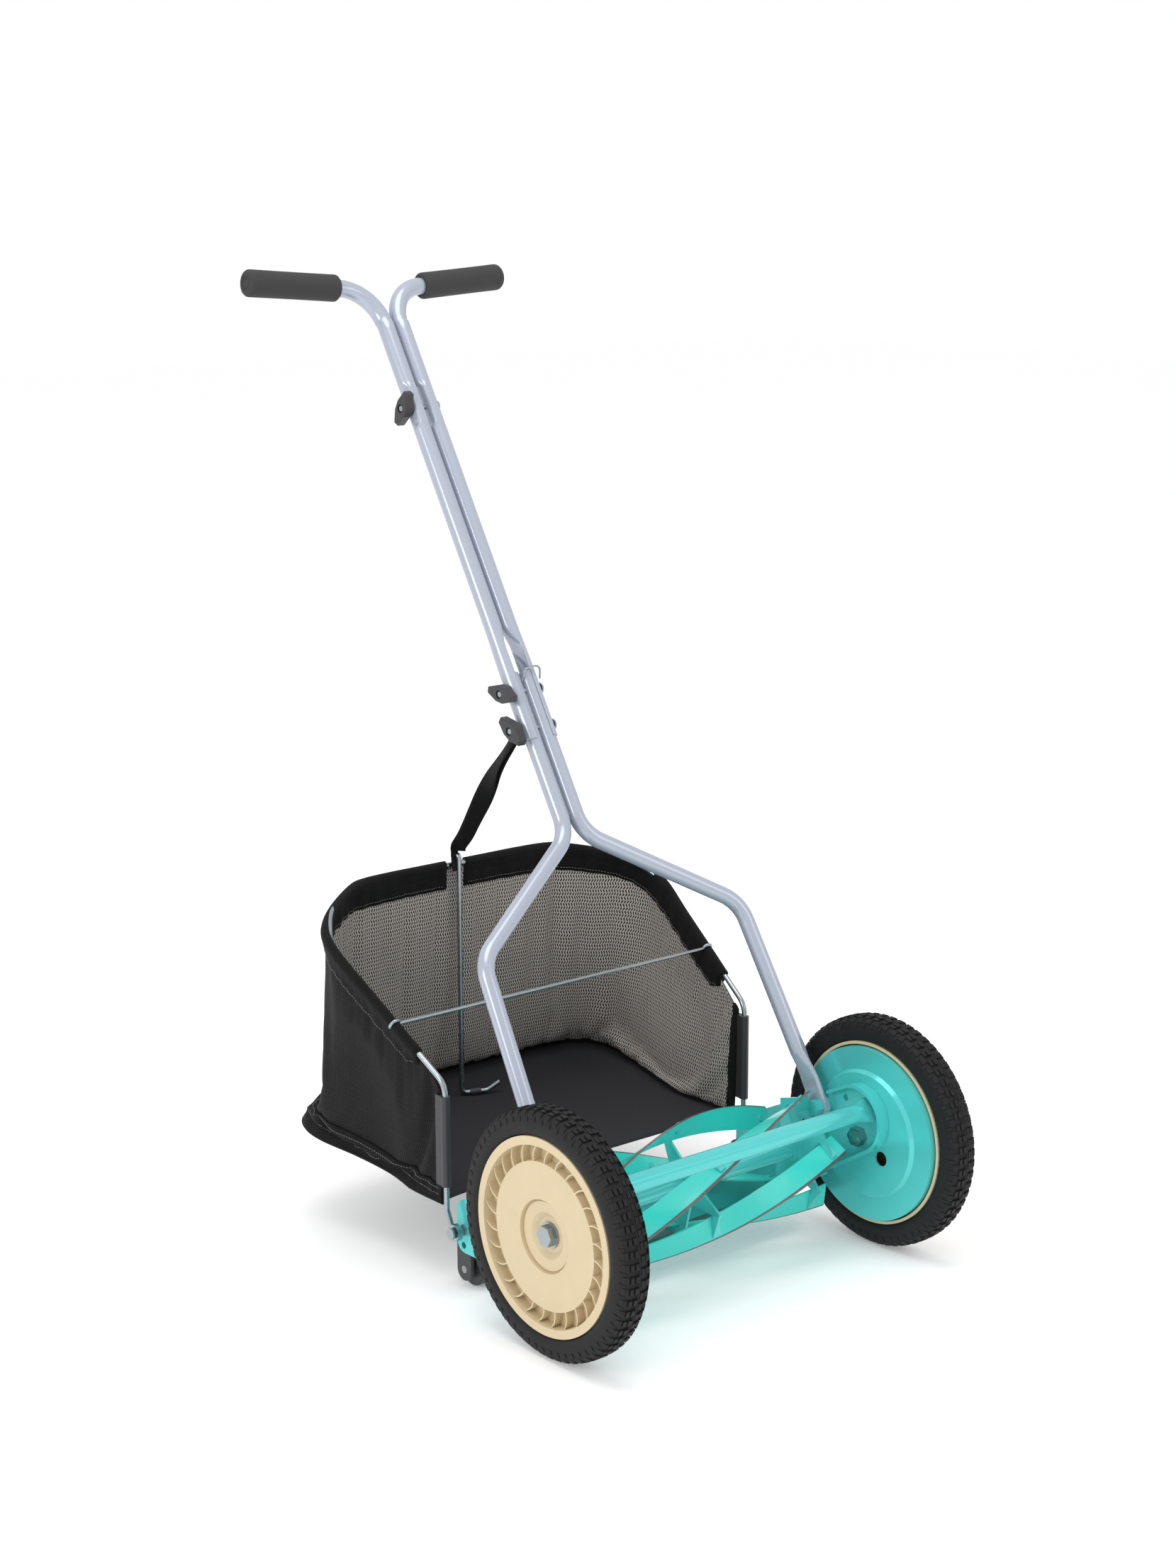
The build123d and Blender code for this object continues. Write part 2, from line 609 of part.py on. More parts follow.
def pinch_cuts(half_width):
    """Two flats pressed into the upper tube's sides where the upper bolt crosses."""
    half_length = (PINCH_Z[1] - PINCH_Z[0]) / 2 / HANDLE_DIRECTION.Z
    reach = UPPER_TUBE_RADIUS + 1
    corners = (
        (half_width, -half_length), (reach, -half_length - PINCH_RUN_OUT),
        (reach, half_length + PINCH_RUN_OUT), (half_width, half_length),
    )
    side = make_face(Polyline(*corners, close=True))
    plane = handle_side_plane((PINCH_Z[0] + PINCH_Z[1]) / 2)
    return extrude(plane * (side + mirror(side, about=Plane.YZ)), amount=reach, both=True)


def upper_rod(radius, pinch_half_width):
    """The upper tube as a solid bar: wide at the shell, a taper, a pinch, and a bend to the grip."""
    points = [on_handle(TUBE_ROUND_Z, TUBE_X), tuple(on_grip(TUBE_X)), tuple(on_grip(GRIP_X[1] - 4.0))]
    shell_radius = radius + SHELL_RADIUS - UPPER_TUBE_RADIUS
    shell_length = (SHELL_TOP_Z - SHELL_BOTTOM_Z) / HANDLE_DIRECTION.Z
    bottom = handle_plane(SHELL_BOTTOM_Z, TUBE_X)
    top = handle_plane(SHELL_TOP_Z, TUBE_X)
    neck = handle_plane(TUBE_ROUND_Z, TUBE_X)
    rod = extrude(bottom * Circle(shell_radius), amount=shell_length)
    rod += loft([top * Circle(shell_radius), neck * Circle(radius)], ruled=True)
    return rod + (swept(points, GRIP_BEND_RADIUS, radius) - pinch_cuts(pinch_half_width))


def upper_tube():
    """The upper handle tube, its lower end cut open to lie round the lower tube."""
    tube = upper_rod(UPPER_TUBE_RADIUS, PINCH_HALF_WIDTH)
    tube -= upper_rod(UPPER_TUBE_RADIUS - TUBE_WALL, PINCH_HALF_WIDTH - TUBE_WALL)
    shell_length = (SHELL_TOP_Z - SHELL_BOTTOM_Z) / HANDLE_DIRECTION.Z
    neck_length = (TUBE_ROUND_Z - SHELL_TOP_Z) / HANDLE_DIRECTION.Z
    reach = SHELL_RADIUS + 2
    corners = (
        (0, -shell_length - 2), (0, 0), (-reach, neck_length - 3),
        (-2 * reach, neck_length - 3), (-2 * reach, -shell_length - 2),
    )
    opening = make_face(Polyline(*corners, close=True))
    return tube - extrude(handle_side_plane(SHELL_TOP_Z) * opening, amount=2 * reach, both=True)


def grip():
    """A foam grip on a handle end."""
    span = on_grip(GRIP_X[1]) - on_grip(GRIP_X[0])
    start = Plane(origin=tuple(on_grip(GRIP_X[0])), z_dir=tuple(span))
    body = extrude(start * Circle(GRIP_RADIUS), amount=span.length)
    body = fillet(body.edges().filter_by(GeomType.CIRCLE), 4.0)
    return body - extrude(start * Circle(UPPER_TUBE_RADIUS), amount=span.length - 3.9)


def tube_side(name):
    """How far the outer face of the tubes is from the middle at a handle bolt."""
    return TUBE_X + (PINCH_HALF_WIDTH if name == "upper" else SHELL_RADIUS)


def knob_face(name):
    """The X of a wing knob's inner face; the low one leaves room for the strap's eye."""
    return -tube_side(name) - 0.3 - (STRAP_SPACE if name == "low" else 0.0)


def bolt_holes():
    """The holes for the handle bolts, through all four tubes."""
    holes = []
    for z in KNOB_Z.values():
        holes.append(disc(on_handle(z)[1:], HANDLE_BOLT_RADIUS + RUNNING_CLEARANCE, -40.0, 40.0))
    return holes


def handle_bolts():
    """The three bolts across the handle, each with a domed head on the left."""
    bolts = []
    for name, z in KNOB_Z.items():
        centre = on_handle(z)[1:]
        outer = tube_side(name)
        bolt = disc(centre, HANDLE_BOLT_RADIUS, knob_face(name) - KNOB_HEIGHT + 1.0, outer)
        head = disc(centre, 6.5, outer, outer + 3.0)
        bolts.append(bolt + fillet(head.edges().group_by(Axis.X)[-1], 2.0))
    return bolts


def wing_knob(name):
    """A moulded wing nut on the right-hand end of a handle bolt."""
    centre = on_handle(KNOB_Z[name])[1:]
    face = knob_face(name)
    outer_face = face - KNOB_HEIGHT
    half = [(-KNOB_REACH, KNOB_TIP), (-KNOB_SHOULDER, KNOB_WAIST), (KNOB_SHOULDER, KNOB_WAIST), (KNOB_REACH, KNOB_TIP)]
    corners = half + [(-x, -y) for x, y in half]
    wing = Pos(*centre) * Rot(0, 0, KNOB_TURN[name]) * make_face(Polyline(*corners, close=True))
    wings = slab(wing, outer_face, face - 3.0)
    wings = chamfer(wings.edges().group_by(Axis.X)[0], 1.2)
    knob = disc(centre, KNOB_WAIST, face - 4.0, face) + wings
    knob -= disc(centre, HANDLE_BOLT_RADIUS + 1.6, outer_face - 1, outer_face + 3.0)
    return knob - disc(centre, HANDLE_BOLT_RADIUS + RUNNING_CLEARANCE, outer_face - 1, face + 1)


def wire_clip():
    """The sprung wire that leads out of the tube joint and over the left-hand tube."""
    route = ((0.0, 0.0, 596.0), (0.0, 13.5, 607.0), (22.0, 15.0, 609.0), (25.0, 3.0, 599.0))
    front = Vector(0, -HANDLE_DIRECTION.Z, HANDLE_DIRECTION.Y)
    points = [tuple(Vector(*on_handle(z, x)) + front * rise) for x, rise, z in route]
    return swept(points, [5.0, 9.0], CLIP_RADIUS)


# ---- grass catcher -------------------------------------------------------------------
def rim_height(y):
    """The height of the walls' top edge, just under the frame's sloping wire."""
    return min(BEND_Z - RIM_DROP + (y - FRAME_Y) * RIM_SLOPE, RIM_Z)


def bag_outline(half_outline, inset):
    """A (X, Y) outline of the bag at one height, from the left half of its points."""
    left = [(x - inset, y - inset * (x < half_outline[1][0])) for x, y in half_outline]
    right = [(-x, y) for x, y in reversed(left)]
    return make_face(Polyline(*left, *right, close=True))


def bag_solid(inset):
    """The bag's outer shape, drawn in by a wall's thickness when asked."""
    front_y = BAG_FRONT_Y - 20.0
    low_half = [(206.0, front_y), (212.0, 400.0), (203.0, 448.0), (165.0, 478.0), (80.0, 485.0)]
    high_half = [(213.0, front_y), (236.0, 370.0), (205.0, 414.0), (142.0, 456.0), (70.0, 461.0)]
    low = Plane.XY.offset(FLOOR_Z - 2.0) * bag_outline(low_half, inset)
    high = Plane.XY.offset(RIM_Z + 4.0) * bag_outline(high_half, inset)
    return loft([low, high], ruled=True)


def bag_body():
    """The bag's mesh walls, open at the front and above its sloping rim."""
    walls = bag_solid(0.0) - bag_solid(BAG_WALL)
    front_cut = Pos(0, BAG_FRONT_Y - 50.0, 250.0) * Box(600, 100, 600)
    low_end = BAG_FRONT_Y - 20.0
    high_end = FRAME_Y + (RIM_Z - BEND_Z + RIM_DROP) / RIM_SLOPE
    above = [(low_end, rim_height(low_end)), (high_end, RIM_Z), (600.0, RIM_Z), (600.0, 500.0), (low_end, 500.0)]
    return walls - front_cut - slab(make_face(Polyline(*above, close=True)), -300.0, 300.0)


def bag_floor():
    """The catcher's stiff floor sheet."""
    sheet = bag_solid(BAG_WALL + 0.1) & (Pos(0, 400, FLOOR_Z) * Box(600, 2 * (400 - BAG_FRONT_Y), 2.0))
    return sheet


def catcher_frame():
    """The bent wire that carries the bag and hooks onto the side plates."""
    eye = Vector(FRAME_X - 2.0, *CATCHER_PIVOT)
    side = [
        (FRAME_X, CATCHER_PIVOT[0] + 6.0, CATCHER_PIVOT[1] + 4.0), (FRAME_X, FRAME_Y, 88.0),
        (FRAME_X, FRAME_Y, BEND_Z), (232.0, 368.0, BEND_Z + (368.0 - FRAME_Y) * RIM_SLOPE),
        (203.0, 411.0, 361.0), (140.0, *REAR_WIRE),
    ]
    bends = [9.0, 22.0, 60.0, 85.0, 85.0]
    points = side + [(-x, y, z) for x, y, z in reversed(side)]
    wire = swept(points, bends + bends[::-1], WIRE_RADIUS)
    ring = disc(CATCHER_PIVOT, 9.0, FRAME_X - 3.0, FRAME_X + 3.0)
    ring -= disc(CATCHER_PIVOT, CATCHER_PIN_RADIUS + RUNNING_CLEARANCE, eye.X - 5, eye.X + 8)
    for eye_ring in both_sides(ring):
        wire += eye_ring
    for hole in both_sides(disc(CATCHER_PIVOT, CATCHER_PIN_RADIUS + RUNNING_CLEARANCE, 195.0, 225.0)):
        wire -= hole
    return wire


def cross_wire():
    """The thin wire across the catcher, hooked over the frame's sloping sides."""
    height = BEND_Z + (CROSS_WIRE_Y - FRAME_Y) * RIM_SLOPE
    side_x = FRAME_X + (232.0 - FRAME_X) * (CROSS_WIRE_Y - FRAME_Y) / (368.0 - FRAME_Y)
    hook_radius = WIRE_RADIUS + CROSS_WIRE_RADIUS + 0.2
    start, end = ((sign * (side_x - hook_radius), CROSS_WIRE_Y, height) for sign in (-1, 1))
    hook_plane = Plane(origin=(side_x, CROSS_WIRE_Y, height), z_dir=(0.1, 1.0, RIM_SLOPE))
    hook = hook_plane * Torus(hook_radius, CROSS_WIRE_RADIUS)
    return tube_between(start, end, CROSS_WIRE_RADIUS) + both_sides(hook)


def support_rod():
    """The upright wire from the bag's rim down to its floor."""
    points = [
        (0.0, ROD_Y + 7.0, 384.0), (0.0, ROD_Y, 384.0), (0.0, ROD_Y, ROD_FOOT_Z),
        (28.0, ROD_Y - 11.2, ROD_FOOT_Z), (42.0, ROD_Y - 17.0, ROD_FOOT_Z + 9.0),
    ]
    return swept(points, [3.4, 7.0, 8.0], WIRE_RADIUS)


def rod_sleeve():
    """The black loop that holds the support rod's foot on the floor sheet."""
    start = (9.0, ROD_Y - 3.6, ROD_FOOT_Z)
    end = (21.0, ROD_Y - 8.4, ROD_FOOT_Z)
    return tube_between(start, end, WIRE_RADIUS + 1.2) - tube_between(start, end, WIRE_RADIUS)


def edge_sleeve():
    """The plastic channel that clips the bag's front edge to the frame."""
    plane = Plane.XY.offset(SLEEVE_Z[0])
    channel = Pos(FRAME_X, FRAME_Y) * Circle(WIRE_RADIUS + 2.0)
    channel += Pos(FRAME_X, FRAME_Y + 5.5) * Rectangle(7.0, 15.0)
    channel -= Pos(FRAME_X, FRAME_Y) * Circle(WIRE_RADIUS)
    return extrude(plane * channel, amount=SLEEVE_Z[1] - SLEEVE_Z[0])


def strap():
    """The webbing that hangs the back of the catcher from the handle's low bolt."""
    bolt = on_handle(KNOB_Z["low"])[1:]
    middle_x = knob_face("low") + 0.3 + STRAP_THICKNESS / 2
    top = Vector(middle_x, *bolt)
    bottom = Vector(*STRAP_FOOT)
    direction = (bottom - top).normalized()
    plane = Plane(origin=tuple(top), x_dir=(1, 0, 0), z_dir=tuple(direction))
    band = extrude(plane * Rectangle(STRAP_THICKNESS, STRAP_WIDTH / 2), amount=(bottom - top).length - 5.0)
    band += disc(bolt, STRAP_WIDTH / 4, middle_x - STRAP_THICKNESS / 2, middle_x + STRAP_THICKNESS / 2)
    return band - disc(bolt, HANDLE_BOLT_RADIUS + RUNNING_CLEARANCE, -40.0, 0.0)


# ---- writing the sub-parts -----------------------------------------------------------
def write_drive():
    """Wheels, tyres, axles, pinions and gear covers."""
    pieces = {"wheel": wheel(), "tyre": tyre(), "axle_bolt": axle_bolt(), "pinion": pinion()}
    pieces["gear_cover"] = gear_cover()
    for name, shape in pieces.items():
        for side, sign in SIDES.items():
            save(f"{name}_{side}", on_side(shape, sign))
    spacer = disc(AXLE, 10.0, 202.0, 208.2) - disc(AXLE, AXLE_RADIUS, 201.0, 209.0)
    save("axle_spacers", *both_sides(spacer))
    nut = hexagon(AXLE, 19.0, 187.0, PLATE_X[0]) - disc(AXLE, AXLE_RADIUS, 186.0, 197.0)
    save("axle_nuts", *both_sides(nut))


def write_reel():
    """The reel and what turns with it."""
    save("reel_shaft", reel_shaft())
    save("reel_blades", *[reel_blade(index) for index in range(BLADE_COUNT)])
    for number, x in enumerate(SPIDER_X, start=1):
        save(f"reel_spider_{number}", reel_spider(x))
    save("blade_rivets", *blade_rivets())
    save("drive_keys", *both_sides(drive_key(0.0, 0.0)))
    save("shaft_clips", *both_sides(shaft_clip()))


def write_chassis():
    """Side plates and everything bolted between them."""
    pieces = {"side_plate": side_plate(), "bearing_bracket": bearing_bracket()}
    pieces["bearing_bush"] = bearing_bush()
    pieces["roller_bracket"] = roller_bracket()
    for name, shape in pieces.items():
        for side, sign in SIDES.items():
            save(f"{name}_{side}", on_side(shape, sign))
    save("tie_bar", tie_bar())
    save("tie_bar_rivets", *tie_bar_rivets())
    save("cutter_bar", cutter_bar())
    save("bed_knife", bed_knife())
    save("cutter_bar_fasteners", *cutter_bar_fasteners())
    save("handle_pivot_bolts", *both_sides(handle_bolt()))
    save("handle_pivot_spacers", *both_sides(handle_spacer()))
    save("roller_spindle", disc((ROLLER_Y, ROLLER_RADIUS), 4.0, -PLATE_X[0], PLATE_X[0]))
    bolt = hexagon((ROLLER_Y - 4.0, 54.0), 12.0, 187.0, 192.0)
    save("roller_bracket_bolts", *both_sides(bolt))
    save("rear_roller", rear_roller())
    save("catcher_pins", *both_sides(catcher_pin()))


def write_handle():
    """The handle, its grips and its fasteners."""
    pieces = {"lower_tube": lower_tube(), "upper_tube": upper_tube(), "grip": grip()}
    for hole in bolt_holes():
        pieces["lower_tube"] -= hole
        pieces["upper_tube"] -= hole
    for name, shape in pieces.items():
        for side, sign in SIDES.items():
            save(f"{name}_{side}", on_side(shape, sign))
    save("handle_bolts", *handle_bolts())
    for name in KNOB_Z:
        save(f"wing_knob_{name}", wing_knob(name))
    save("wire_clip", wire_clip())


def write_catcher():
    """The grass catcher and the strap that holds it up."""
    save("catcher_frame", catcher_frame())
    save("cross_wire", cross_wire())
    save("support_rod", support_rod())
    save("rod_sleeve", rod_sleeve())
    save("edge_sleeves", *both_sides(edge_sleeve()))
    save("bag_body", bag_body())
    save("bag_floor", bag_floor())
    save("strap", strap())


os.makedirs("parts", exist_ok=True)
write_drive()
write_reel()
write_chassis()
write_handle()
write_catcher()
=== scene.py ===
import logging
import math
from dataclasses import dataclass
from enum import Enum
from typing import Sequence

import bmesh
import bpy
from mathutils import Matrix, Vector, noise
from mathutils.geometry import delaunay_2d_cdt


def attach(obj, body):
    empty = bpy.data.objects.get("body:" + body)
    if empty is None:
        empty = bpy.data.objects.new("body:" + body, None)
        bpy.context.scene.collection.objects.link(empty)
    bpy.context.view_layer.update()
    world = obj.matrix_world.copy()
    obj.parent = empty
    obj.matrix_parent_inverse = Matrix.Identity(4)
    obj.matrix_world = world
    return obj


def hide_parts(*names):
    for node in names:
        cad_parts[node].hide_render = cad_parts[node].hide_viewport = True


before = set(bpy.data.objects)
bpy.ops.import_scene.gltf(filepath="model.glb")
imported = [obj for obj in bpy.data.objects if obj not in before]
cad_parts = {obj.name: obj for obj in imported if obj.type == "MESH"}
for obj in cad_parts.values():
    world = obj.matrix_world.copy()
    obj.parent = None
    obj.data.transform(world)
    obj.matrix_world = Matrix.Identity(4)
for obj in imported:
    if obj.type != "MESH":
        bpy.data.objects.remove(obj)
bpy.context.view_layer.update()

log = logging.getLogger("mower")

MM = 0.001
AXLE_SHIFT_Y = -238.5
AXLE_HEIGHT = 127.0
HANDLE_BEND = (241.5, 445.9)
HANDLE_SLOPE = 1.676
REEL_AXIS = (0.0, 65.0, 101.0)
CLOTH_FRAMES = 30
SAG_LIMIT = 9.0
CURVE_SAMPLES = 600

Point = tuple[float, float, float]
Colour = tuple[float, float, float]
Pair = tuple[float, float]
Skin = tuple[list[Vector], list[list[int]]]
Socket = bpy.types.NodeSocket
Tree = bpy.types.NodeTree
Piece = bpy.types.Object


class Side(Enum):
    """A side of the mower, as the operator stands behind it; its value is the way outwards."""

    LEFT = 1
    RIGHT = -1

    @property
    def label(self) -> str:
        """The side's word in the names of pieces."""
        return self.name.lower()


# ---- small helpers -------------------------------------------------------------------
def place(x: float, y: float, z: float) -> Vector:
    """Turn millimetres measured from the wheel axles into metres in the frame.

    Args:
        x: distance to the operator's left.
        y: distance behind the axles.
        z: height above the ground.

    Returns:
        The point in the frame, in metres.
    """
    return Vector((x, y + AXLE_SHIFT_Y, z)) * MM


def handle_y(z: float) -> float:
    """How far behind the axles the handle's straight part is at a height, in millimetres."""
    return HANDLE_BEND[0] + (z - HANDLE_BEND[1]) / HANDLE_SLOPE


def piece(name: str, verts: Sequence[Vector], faces: Sequence[Sequence[int]], smooth: bool = True) -> Piece:
    """Make a mesh object with outward normals.

    Args:
        name: the piece's name.
        verts: its points, in metres in the frame.
        faces: its faces, as lists of point numbers.
        smooth: whether its faces are shaded smooth.

    Returns:
        The new object, linked to the scene.
    """
    mesh = bpy.data.meshes.new(name)
    mesh.from_pydata([tuple(v) for v in verts], [], [tuple(f) for f in faces])
    bm = bmesh.new()
    bm.from_mesh(mesh)
    bmesh.ops.recalc_face_normals(bm, faces=bm.faces)
    bm.to_mesh(mesh)
    bm.free()
    mesh.polygons.foreach_set("use_smooth", [smooth] * len(mesh.polygons))
    made = bpy.data.objects.new(name, mesh)
    bpy.context.scene.collection.objects.link(made)
    return made


def apply_modifiers(obj: Piece) -> None:
    """Replace an object's mesh with what its modifiers make of it.

    Args:
        obj: the object.
    """
    graph = bpy.context.evaluated_depsgraph_get()
    graph.update()
    shaped = obj.evaluated_get(graph)
    mesh = bpy.data.meshes.new_from_object(shaped, preserve_all_data_layers=True, depsgraph=graph)
    obj.modifiers.clear()
    old = obj.data
    obj.data = mesh
    bpy.data.meshes.remove(old)


def lathe(profile: Sequence[tuple[float, float]], centre: Vector, axis: Vector, steps: int) -> Skin:
    """Spin a closed profile round an axis.

    Args:
        profile: (distance along the axis, radius) pairs in metres, in a closed loop.
        centre: a point on the axis.
        axis: the axis' direction.
        steps: how many sections go round.

    Returns:
        The points and the faces.
    """
    along = axis.normalized()
    side = along.orthogonal().normalized()
    up = along.cross(side)
    count = len(profile)
    verts = []
    for step in range(steps):
        turn = math.tau * step / steps
        out = side * math.cos(turn) + up * math.sin(turn)
        verts += [centre + along * reach + out * radius for reach, radius in profile]
    faces = []
    for step in range(steps):
        here, there = step * count, (step + 1) % steps * count
        for i in range(count):
            j = (i + 1) % count
            faces.append([here + i, here + j, there + j, there + i])
    return verts, faces


def add_block(verts: list[Vector], faces: list[list[int]], corners: Sequence[Vector]) -> None:
    """Add a closed six-sided block, from four low corners and the four above them.

    Args:
        verts: the skin's points so far.
        faces: the skin's faces so far.
        corners: the four low corners, then the four above them.
    """
    base = len(verts)
    verts += list(corners)
    for quad in ((0, 1, 2, 3), (7, 6, 5, 4), (0, 4, 5, 1), (1, 5, 6, 2), (2, 6, 7, 3), (3, 7, 4, 0)):
        faces.append([base + i for i in quad])


def through(points: Sequence[Vector], t: float) -> Vector:
    """A point on the smooth curve through some points.

    Args:
        points: the points that the curve goes through.
        t: how far along, from 0 to the number of points less one.

    Returns:
        The point on the curve.
    """
    last = len(points) - 1
    index = min(int(t), last - 1)
    f = t - index
    a = points[max(index - 1, 0)]
    b, c = points[index], points[index + 1]
    d = points[min(index + 2, last)]
    return 0.5 * (2 * b + (c - a) * f + (2 * a - 5 * b + 4 * c - d) * f * f + (3 * b - a - 3 * c + d) * f**3)


def evenly(points: Sequence[Vector], count: int) -> list[Vector]:
    """Points at even spacing along the smooth curve through some points.

    Args:
        points: the points that the curve goes through.
        count: how many points to give.

    Returns:
        The evenly spaced points.
    """
    fine = [through(points, (len(points) - 1) * i / CURVE_SAMPLES) for i in range(CURVE_SAMPLES + 1)]
    lengths = [0.0]
    for a, b in zip(fine, fine[1:]):
        lengths.append(lengths[-1] + (b - a).length)
    result, at = [], 0
    for i in range(count):
        goal = lengths[-1] * i / (count - 1)
        while at < CURVE_SAMPLES - 1 and lengths[at + 1] < goal:
            at += 1
        span = lengths[at + 1] - lengths[at]
        result.append(fine[at].lerp(fine[at + 1], (goal - lengths[at]) / span if span else 0.0))
    return result


def loft(sections: Sequence[Sequence[Vector]], capped: bool = True) -> Skin:
    """Join closed sections, each with the same number of points, into a closed skin.

    Args:
        sections: the closed sections, in order.
        capped: whether the first and the last are closed off.

    Returns:
        The points and the faces.
    """
    count = len(sections[0])
    verts = [p for section in sections for p in section]
    faces = []
    for k in range(len(sections) - 1):
        for i in range(count):
            j = (i + 1) % count
            faces.append([k * count + i, k * count + j, (k + 1) * count + j, (k + 1) * count + i])
    if capped:
        faces.append(list(range(count))[::-1])
        faces.append([len(verts) - count + i for i in range(count)])
    return verts, faces


# ---- shader node groups --------------------------------------------------------------
def new_group(
    name: str, inputs: dict[str, float], outputs: Sequence[str]
) -> tuple[Tree, bpy.types.Node, bpy.types.Node]:
    """Start a shader node group.

    Args:
        name: the group's name.
        inputs: the name and the usual value of each input after the first, which is the vector.
        outputs: the names of its outputs, which are all values.

    Returns:
        The group, its input node and its output node.
    """
    group = bpy.data.node_groups.new(name, "ShaderNodeTree")
    group.interface.new_socket(name="Vector", in_out="INPUT", socket_type="NodeSocketVector")
    for label, default in inputs.items():
        socket = group.interface.new_socket(name=label, in_out="INPUT", socket_type="NodeSocketFloat")
        socket.default_value = default
    for label in outputs:
        group.interface.new_socket(name=label, in_out="OUTPUT", socket_type="NodeSocketFloat")
    return group, group.nodes.new("NodeGroupInput"), group.nodes.new("NodeGroupOutput")


def sum_node(tree: Tree, operation: str, first: object, second: object = None, clamp: bool = False) -> Socket:
    """Add a Math node.

    Args:
        tree: the node tree.
        operation: the sum, as Blender names it.
        first: a socket or a number.
        second: a socket or a number, or nothing.
        clamp: whether the answer is kept from 0 to 1.

    Returns:
        The answer's socket.
    """
    node = tree.nodes.new("ShaderNodeMath")
    node.operation = operation
    node.use_clamp = clamp
    for socket, value in zip(node.inputs, (first, second)):
        if isinstance(value, Socket):
            tree.links.new(value, socket)
        elif value is not None:
            socket.default_value = value
    return node.outputs[0]


def noise_node(tree: Tree, vector: Socket, scale: object, detail: float = 3.0) -> Socket:
    """Add a Noise Texture and give its value socket.

    Args:
        tree: the node tree.
        vector: the coordinates.
        scale: a socket or a number.
        detail: how many finer layers it has.

    Returns:
        The noise's value.
    """
    node = tree.nodes.new("ShaderNodeTexNoise")
    node.inputs["Detail"].default_value = detail
    tree.links.new(vector, node.inputs["Vector"])
    if isinstance(scale, Socket):
        tree.links.new(scale, node.inputs["Scale"])
    else:
        node.inputs["Scale"].default_value = scale
    return node.outputs[0]


def edge_wear_group() -> Tree:
    """Worn corners: where rounded and true normals part, broken up by noise.

    Returns:
        The group.
    """
    inputs = {"Radius": 0.0008, "Chip Scale": 400.0, "Amount": 0.5}
    group, given, out = new_group("edge_wear", inputs, ["Mask"])
    bevel = group.nodes.new("ShaderNodeBevel")
    bevel.samples = 4
    group.links.new(given.outputs["Radius"], bevel.inputs["Radius"])
    geometry = group.nodes.new("ShaderNodeNewGeometry")
    dot = group.nodes.new("ShaderNodeVectorMath")
    dot.operation = "DOT_PRODUCT"
    group.links.new(bevel.outputs[0], dot.inputs[0])
    group.links.new(geometry.outputs["Normal"], dot.inputs[1])
    edge = sum_node(group, "MULTIPLY", sum_node(group, "SUBTRACT", 1.0, dot.outputs["Value"]), 8.0, True)
    chips = noise_node(group, given.outputs["Vector"], given.outputs["Chip Scale"], 5.0)
    bare = sum_node(group, "MULTIPLY", sum_node(group, "SUBTRACT", chips, 0.5), 9.0, True)
    worn = sum_node(group, "MULTIPLY", sum_node(group, "MULTIPLY", edge, bare), given.outputs["Amount"], True)
    group.links.new(worn, out.inputs["Mask"])
    return group


def grain_group() -> Tree:
    """Moulded or cast grain: a fine height with a slow change of shade.

    Returns:
        The group.
    """
    group, given, out = new_group("grain", {"Scale": 900.0}, ["Height", "Shade"])
    fine = noise_node(group, given.outputs["Vector"], given.outputs["Scale"], 4.0)
    slow_scale = sum_node(group, "MULTIPLY", given.outputs["Scale"], 0.03)
    slow = noise_node(group, given.outputs["Vector"], slow_scale, 3.0)
    group.links.new(fine, out.inputs["Height"])
    slow_part = sum_node(group, "MULTIPLY", slow, 0.75)
    spread = sum_node(group, "ADD", slow_part, sum_node(group, "MULTIPLY", fine, 0.25))
    group.links.new(spread, out.inputs["Shade"])
    return group


def dust_group() -> Tree:
    """Loose dust: cloudy patches that lie where a surface faces up.

    Returns:
        The group.
    """
    group, given, out = new_group("dust", {"Scale": 60.0, "Amount": 0.2}, ["Mask"])
    clouds = noise_node(group, given.outputs["Vector"], given.outputs["Scale"], 6.0)
    geometry = group.nodes.new("ShaderNodeNewGeometry")
    parts = group.nodes.new("ShaderNodeSeparateXYZ")
    group.links.new(geometry.outputs["Normal"], parts.inputs[0])
    facing = sum_node(group, "ADD", sum_node(group, "MULTIPLY", parts.outputs["Z"], 0.35), 0.65, True)
    patches = sum_node(group, "MULTIPLY", sum_node(group, "SUBTRACT", clouds, 0.42), 3.0, True)
    lying = sum_node(group, "MULTIPLY", patches, facing)
    mask = sum_node(group, "MULTIPLY", lying, given.outputs["Amount"], True)
    group.links.new(mask, out.inputs["Mask"])
    return group


